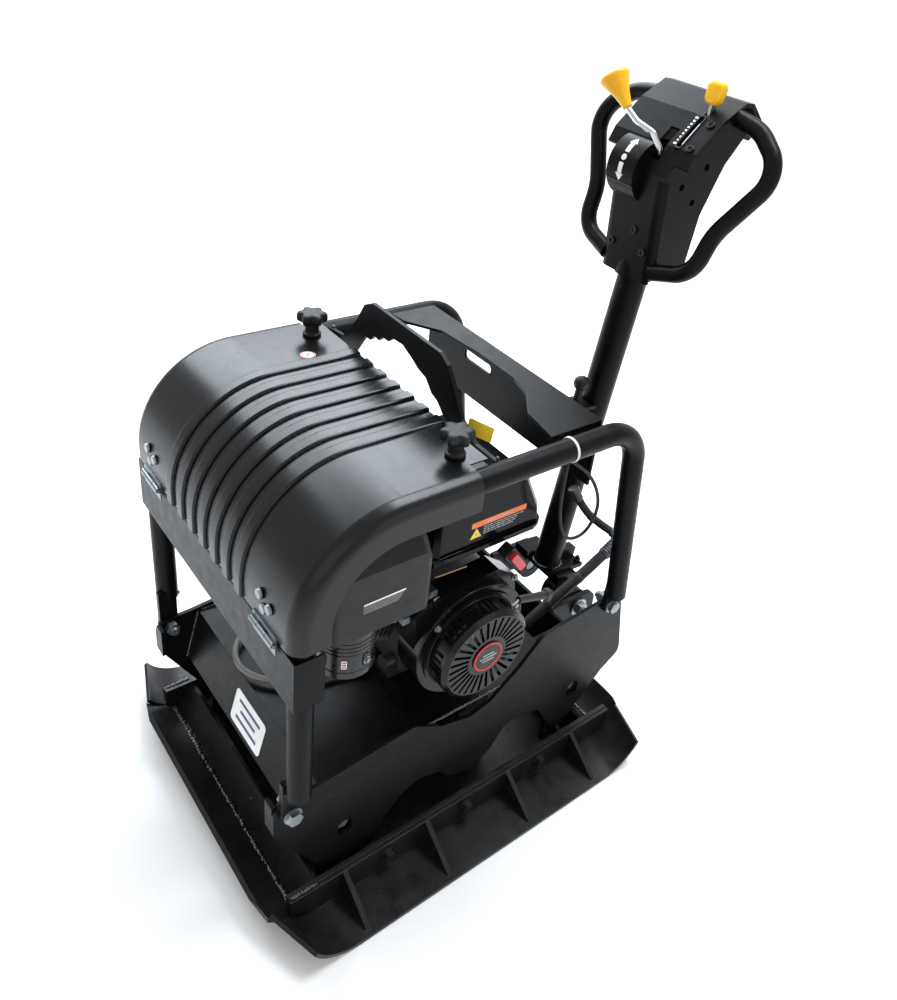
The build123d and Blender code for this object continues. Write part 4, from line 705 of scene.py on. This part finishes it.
def build_lever_marks():
    """Arrows on the travel quadrant's rim and graduations beside the throttle slot."""
    bm = bmesh.new()
    for start, way in ((12, -1), (38, 1)):
        for i in range(3):
            add_bar(bm, rim_frame(start + way * 6.2 * i, 0.1), 0, 0, 11, 7.2, 0, 0.5)
        tip = [(-9.5, -5 * way), (9.5, -5 * way), (0, 9 * way)]
        add_prism(bm, rim_frame(start + way * 21, -0.6), millimetres(tip[::way]), 0, 1.4 * MM)
    dot = [(0, 0), (0.0062, 0), (0.0062, 0.0005), (0, 0.0005)]
    add_lathe(bm, rim_frame(25, 0.0), dot, 24)
    piece("quadrant_marks", bm, WHITE_PRINT, "drawbar")
    bm = bmesh.new()
    low, high = Vector((46, 506, 1295.5)), Vector((46, 554, 1339.5))
    along = (high - low).normalized()
    normal = Vector((0, -along.z, along.y))
    for i in range(9):
        face = frame_at((low.lerp(high, i / 8) + normal * 0.3) * MM, normal, along)
        add_bar(bm, face, 0, 0, 2.6 + (4.5 if i in (0, 8) else 0.3 * i), 4.2)
    piece("throttle_marks", bm, WHITE_PRINT, "drawbar")
    rim = [p * MM for p in rounded_outline(84, 16, 5)]
    bm = bmesh.new()
    matrix = frame_at((Vector((58, 530, 1317.5)) + normal * 0.2) * MM, normal, (1, 0, 0))
    outer = [matrix @ p for p in rim]
    inner = [matrix @ Vector((p.x * 0.90, p.y * 0.66, 0)) for p in rim]
    tops = [matrix @ Vector((p.x * 0.985, p.y * 0.93, 1.4 * MM)) for p in rim]
    lips = [matrix @ Vector((p.x * 0.915, p.y * 0.72, 1.4 * MM)) for p in rim]
    loops = [[bm.verts.new(v) for v in loop] for loop in (outer, tops, lips, inner)]
    loops.append(loops[0])
    count = len(rim)
    for first, second in zip(loops, loops[1:]):
        for i in range(count):
            bm.faces.new((first[i], first[(i + 1) % count], second[(i + 1) % count], second[i]))
    piece("throttle_gate", bm, LOOKS["black_plastic"], "drawbar")


def build_hood_knobs():
    """Six soft lobes on a ribbed collar, one knob on each side of the hood."""
    for side, name in ((1, "right"), (-1, "left")):
        bm = bmesh.new()
        centre = Matrix.Translation(Vector((side * 229, -88, 895)) * MM)
        layers = ((0, 28), (0.84, 28.2), (0.97, 31), (1.0, 36), (0.98, 43), (0.90, 46.8), (0.70, 48), (0, 48))
        count, lobes = 72, 6
        rings = []
        for share, height in layers:
            ring = []
            for i in range(count):
                angle = math.radians(360 / count * i)
                reach = share * (25.2 + 3.6 * math.cos(lobes * angle))
                spot = Vector((reach * math.cos(angle), reach * math.sin(angle), height)) * MM
                ring.append(bm.verts.new(centre @ spot))
            rings.append(ring)
        for low, high in zip(rings, rings[1:]):
            for i in range(count):
                j = (i + 1) % count
                bm.faces.new((low[i], low[j], high[j], high[i]))
        bmesh.ops.remove_doubles(bm, verts=bm.verts[:], dist=1e-6)
        collar = [(0, 0), (17, 0), (17, 5.5), (15.5, 6.5), (13, 7)]
        for step in range(4):
            low = 9 + 5 * step
            collar += [(13, low), (12.3, low + 1), (12.3, low + 2.4), (13, low + 3.4)]
        collar += [(13, 29.5), (0, 29.5)]
        add_lathe(bm, centre, millimetres(collar), 40)
        add_lathe(bm, centre, millimetres([(0, -38), (4.8, -38), (6, -36.8), (6, 0), (0, 0)]), 24)
        knob = piece(f"star_knob_{name}", bm, LOOKS["black_plastic"], f"knob_{name}")
        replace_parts(knob, f"hood_knob_{name}")


def build_head_core():
    """A dark block inside the head, partly a stand-in for the unseen control block and partly painted shade:
    it closes the view through the head's holes and slots so that they show dark.
    """
    bm = bmesh.new()
    lower = [(500, 1084), (592, 1084), (600, 1220), (498, 1220)]
    add_prism(bm, SIDE_ON, millimetres(lower), -61 * MM, 61 * MM)
    upper = [(582, 1196), (604, 1196), (612, 1268), (588, 1272)]
    add_prism(bm, SIDE_ON, millimetres(upper), -61 * MM, 61 * MM)
    piece("head_core", bm, LOOKS["rubber"], "drawbar", 2 * MM)


def build_levers():
    """The bent travel lever and the throttle blade, each with its moulded yellow knob."""
    route = [TRAVEL_PIVOT, (26, 488, 1282), (10, 482, 1306), (-26, 472, 1318), (-54, 470, 1336)]
    bend = 9
    turns = []
    for before, at, after in zip(route, route[1:], route[2:]):
        a, b, c = Vector(before), Vector(at), Vector(after)
        turns += [b + (a - b).normalized() * bend, b, b + (c - b).normalized() * bend]
    line = millimetres([route[0], *turns, route[-1]])
    rod = tube("travel_rod", line, 6 * MM, LOOKS["chrome"], "travel_lever", resolution=8)
    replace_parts(rod, "direction_lever")
    bm = bmesh.new()
    hub = [(0, -9), (11, -9), (12, -8), (12, 8), (11, 9), (0, 9)]
    add_lathe(bm, face_at(*TRAVEL_PIVOT, (1, 0, 0)), millimetres(hub), 36)
    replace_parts(piece("travel_hub", bm, LOOKS["machined"], "travel_lever"), "direction_lever")
    bm = bmesh.new()
    flare = [(0, 0), (8.4, 0), (9, 1.2), (11.4, 12), (15.6, 28), (21.6, 43), (27.4, 55), (29.5, 60),
             (29.2, 63), (27, 66), (22.5, 69.4), (16, 71.4), (8, 72), (0, 72)]
    seat = face_at(-54, 470, 1337, (-0.66, -0.10, 0.74))
    add_lathe(bm, seat, millimetres(flare), 64)
    knob = piece("travel_knob", bm, LOOKS["knob_yellow"], "travel_lever")
    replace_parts(knob, "direction_lever")

    bm = bmesh.new()
    blade = [(558, 1262), (568, 1259), (583, 1366), (571, 1368)]
    add_prism(bm, SIDE_ON, millimetres(blade), 55 * MM, 61 * MM)
    boss = [(0, -6), (10.5, -6), (10.5, 5), (0, 5)]
    add_lathe(bm, face_at(*THROTTLE_PIVOT, (1, 0, 0)), millimetres(boss), 32)
    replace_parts(piece("throttle_blade", bm, BRIGHT, "throttle", 0.5 * MM), "throttle_lever")
    bm = bmesh.new()
    bmesh.ops.create_icosphere(bm, subdivisions=5, radius=1.0)
    lean = Matrix.Translation(Vector((58, 578, 1386)) * MM) @ Matrix.Rotation(math.radians(-12), 4, "X")
    square = 3.6
    for vert in bm.verts:
        x, y, z = vert.co
        spread = (abs(x) ** square + abs(y) ** square + abs(z) ** square) ** (-1 / square)
        taper = 0.93 + 0.07 * z * spread
        vert.co = lean @ (Vector((x * 18.6 * taper, y * 15.6 * taper, z * 21.8)) * spread * MM)
    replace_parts(piece("throttle_knob", bm, LOOKS["knob_yellow"], "throttle"), "throttle_lever")


# ---------------------------------------------------------------- fasteners, welds and small fittings
def build_welds():
    """Hand-laid beads along the plates' joints, round the column's foot and at the rails' toes."""
    beads = (
        ("rail_front", [(-272, -384, 17), (272, -384, 17)], 6.5, "lower_mass"),
        ("rail_rear", [(-272, 384, 17), (272, 384, 17)], 6.5, "lower_mass"),
        ("wall_left", [(-249, -355, 190), (-249, -328, 296)], 3.2, "deck"),
        ("wall_right", [(249, -355, 190), (249, -328, 296)], 3.2, "deck"),
        ("floor_right", [(249, -318, 300), (249, 214, 300)], 3.2, "deck"),
        ("floor_left", [(-249, -318, 300), (-249, 214, 300)], 3.2, "deck"),
        ("ear_right", [(117, 349, 192), (117, 349, 256)], 3.6, "deck"),
        ("ear_left", [(-117, 349, 192), (-117, 349, 256)], 3.6, "deck"),
        ("bail_right", [(263, -24, 873), (259, -24, 886)], 3.4, "deck"),
        ("bail_left", [(-263, -24, 873), (-259, -24, 886)], 3.4, "deck"),
        ("tab_front_right", [(271, -396, 348), (271, -358, 348)], 3.6, "deck"),
        ("tab_front_left", [(-271, -396, 348), (-271, -358, 348)], 3.6, "deck"),
    )
    for seed, (name, points, radius, body) in enumerate(beads):
        weld_bead(f"weld_{name}", points, radius, body, seed)
    tilt = math.radians(7.8)
    reach, steps = 33.5, 24
    ring = []
    for i in range(steps + 1):
        angle = 2 * math.pi * i / steps
        x, y, z = reach * math.cos(angle), -17 + reach * math.sin(angle), 58.5
        leaning_y = y * math.cos(tilt) + z * math.sin(tilt)
        leaning_z = z * math.cos(tilt) - y * math.sin(tilt)
        ring.append((x, 432 + leaning_y, 232 + leaning_z))
    weld_bead("weld_column_foot", ring, 4.0, "drawbar", 31)
    for side, name in ((1, "right"), (-1, "left")):
        toe = [(side * 286.5, y, 76) for y in (-392, -345)]
        weld_bead(f"weld_rail_toe_{name}", toe, 3.8, "lower_mass", 40 + side)


def build_screws():
    """Socket screws in the control head; hex screws round the starter cover and on the engine."""
    bm = bmesh.new()
    for x, y, z in ((-42, 485.0, 1076), (42, 485.0, 1080), (12, 482.5, 1118)):
        add_socket_screw(bm, Vector((x, y, z)) * MM, (0, -1, 0.064), 8 * MM, 5 * MM)
    normal = Vector((0, -0.68, 0.73))
    for x, y, z in ((85, 549, 1335), (85, 504, 1294)):
        add_socket_screw(bm, Vector((x, y, z)) * MM, normal, 8 * MM, 3 * MM)
    piece("head_screws", bm, LOOKS["black_gloss"], "drawbar", 0.4 * MM)
    bm = bmesh.new()
    cover_x, reach = 239, 107
    for angle in (20, 140, 260):
        turn = math.radians(angle)
        place = Vector((cover_x, STARTER_Y + reach * math.cos(turn), STARTER_Z + reach * math.sin(turn)))
        add_screw(bm, place * MM, (1, 0, 0), 5 * MM, 6 * MM)
    for y in (-62, 96):
        add_screw(bm, Vector((222, y, 556)) * MM, (1, 0, 0), 5 * MM, 6 * MM)
    piece("engine_screws", bm, LOOKS["zinc"], "deck", 0.3 * MM)


def build_starter_details():
    """The rolled edges of the cowl and of the starter cover, and the rope behind the grip."""
    rings = (("cowl_rolled_edge", 237, 119, 1.6), ("starter_flange_bead", 243, 99, 1.5))
    for name, x, radius, thickness in rings:
        bm = bmesh.new()
        add_torus(bm, face_at(x, STARTER_Y, STARTER_Z, (1, 0, 0)), radius * MM, thickness * MM, 120, 8)
        piece(name, bm, LOOKS["black_gloss"], "deck")
    rope = [(263, 75, 541), (262, 66, 534), (258, 52, 522)]
    tube("starter_rope", millimetres(rope), 2.4 * MM, NYLON, "deck")


def build_control_rods():
    """The carburettor's rods and spring wire, with two small linkage plates."""
    rods = (
        ("governor_rod", [(205, -82, 622), (205, -50, 619), (205, -12, 617)], 1.5, COPPER),
        ("choke_rod", [(204, -168, 604), (206, -140, 598), (206, -96, 593)], 1.6, BRIGHT),
        ("spring_wire", [(196, -160, 560), (208, -135, 568), (204, -100, 574), (198, -76, 590)], 1.2, BRIGHT),
    )
    for name, points, radius, look in rods:
        tube(name, millimetres(points), radius * MM, look, "deck")
    bm = bmesh.new()
    blade = [(-46, -3), (-30, -8), (10, -6), (44, 6), (40, 12), (4, 3), (-28, 2)]
    add_prism(bm, face_at(207, -120, 577, (1, 0, 0)), millimetres(blade), 0, 1.6 * MM)
    tab = [p * MM for p in rounded_outline(26, 13, 2)]
    add_prism(bm, face_at(214, -72, 574, (1, 0, 0.3)), tab, 0, 1.6 * MM)
    piece("linkage_plates", bm, BRIGHT, "deck", 0.3 * MM)


def build_zip_ties():
    """A white tie that holds the throttle cable on the frame tube, and black ones round the hoses."""
    bm = bmesh.new()
    band = [(21.2, -2.2), (22.8, -2.2), (22.8, 2.2), (21.2, 2.2), (21.2, -2.2)]
    add_lathe(bm, face_at(278, 120, 868, (0, 1, 0)), millimetres(band), 48)
    lock = [p * MM for p in rounded_outline(9, 8, 1.5)]
    add_prism(bm, face_at(262, 123.5, 850, (0, 1, 0)), lock, -7 * MM, 0)
    piece("cable_tie", bm, NYLON, "deck")
    bm = bmesh.new()
    for route, radius, share in ((LOWER_HOSE, 12, 0.35), (LOWER_HOSE, 12, 0.62), (UPPER_HOSE, 9, 0.5)):
        lengths = [(Vector(b) - Vector(a)).length for a, b in zip(route, route[1:])]
        rest = share * sum(lengths)
        for start, end, run in zip(route, route[1:], lengths):
            if rest <= run:
                break
            rest -= run
        place = Vector(start).lerp(Vector(end), rest / run)
        around = frame_at(place * MM, Vector(end) - Vector(start))
        inner, outer, half = radius - 2, radius + 0.9, 6
        sleeve = [(inner, -half), (outer, -half), (outer, half), (inner, half), (inner, -half)]
        add_lathe(bm, around, millimetres(sleeve), 36)
    piece("hose_ties", bm, BLACK_NYLON, "deck")


def build_bowl_details():
    """Rolled rims, clamp screws and a small red and white mark on the dust bowl."""
    bm = bmesh.new()
    for height in (563, 600, 608, 616, 624):
        add_torus(bm, face_at(BOWL_X, BOWL_Y, height, (0, 0, 1)), 47.6 * MM, 1.5 * MM, 64)
    piece("bowl_ribs", bm, LOOKS["clear_bowl"], "deck")
    bm = bmesh.new()
    clips = bmesh.new()
    for degrees in (-78, 12, 140):
        angle = math.radians(degrees)
        outward = Vector((math.cos(angle), math.sin(angle), 0))
        place = Vector((BOWL_X, BOWL_Y, BOWL_MARK_Z)) + outward * 47.5
        clip = [p * MM for p in rounded_outline(14, 26, 4)]
        add_prism(clips, frame_at(place * MM, outward), clip, 0, 2 * MM)
        add_screw(bm, (place + outward * 2) * MM, outward, 4.6 * MM, 5 * MM)
    piece("bowl_clips", clips, BLACK_NYLON, "deck", 0.4 * MM)
    piece("bowl_screws", bm, LOOKS["zinc"], "deck", 0.3 * MM)
    angle, reach = math.radians(-33), 48
    outward = (math.cos(angle), math.sin(angle), 0)
    face = face_at(BOWL_X + reach * outward[0], BOWL_Y + reach * outward[1], BOWL_MARK_Z, outward)
    bm = bmesh.new()
    add_bar(bm, face, 0, 0, 9, 17, 0.1, 0.5)
    piece("bowl_mark", bm, WHITE_PRINT, "deck")
    bm = bmesh.new()
    for y in (-5, 0, 5):
        add_bar(bm, face, 0, y, 6.6, 2.8, 0.5, 0.7)
    piece("bowl_mark_bars", bm, RED_PRINT, "deck")


def build_stickers():
    """A round mark with a plain slash on the hood, and a yellow tag by the lifting bail."""
    rib_height = 5 * MM
    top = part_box("hood")[1].z - rib_height
    on_hood = frame_at((-0.161, -0.133, top), (0, 0, 1), (0, 1, 0))
    bm = bmesh.new()
    add_lathe(bm, on_hood, [(0, 0), (14 * MM, 0), (14 * MM, 0.3 * MM), (0, 0.3 * MM)], 48)
    piece("hood_mark", bm, WHITE_PRINT, "hood")
    bm = bmesh.new()
    add_torus(bm, frame_at((-0.161, -0.133, top + 0.0002), (0, 0, 1)), 12.4 * MM, 1.0 * MM, 48, 8)
    outline = millimetres([(-1.2, -9), (1.2, -9), (1.2, 9), (-1.2, 9)])
    add_prism(bm, on_hood @ Matrix.Rotation(0.8, 4, "Z"), outline, 0.3 * MM, 0.5 * MM)
    piece("hood_mark_ring", bm, RED_PRINT, "hood")
    bm = bmesh.new()
    tag = [p * MM for p in rounded_outline(50, 26, 3)]
    add_prism(bm, frame_at((0.178, 0.002, 0.885), (0.30, -0.90, 0.30)), tag, -0.4 * MM, 0.4 * MM)
    piece("yellow_tag", bm, YELLOW_PRINT, "deck")


build_camera()
build_studio()
build_cords()
build_tank_label()
build_filter_label()
build_front_label()
build_badge()
build_lever_marks()
build_head_core()
build_levers()
build_hood_knobs()
build_welds()
build_screws()
build_starter_details()
build_control_rods()
build_zip_ties()
build_bowl_details()
build_stickers()
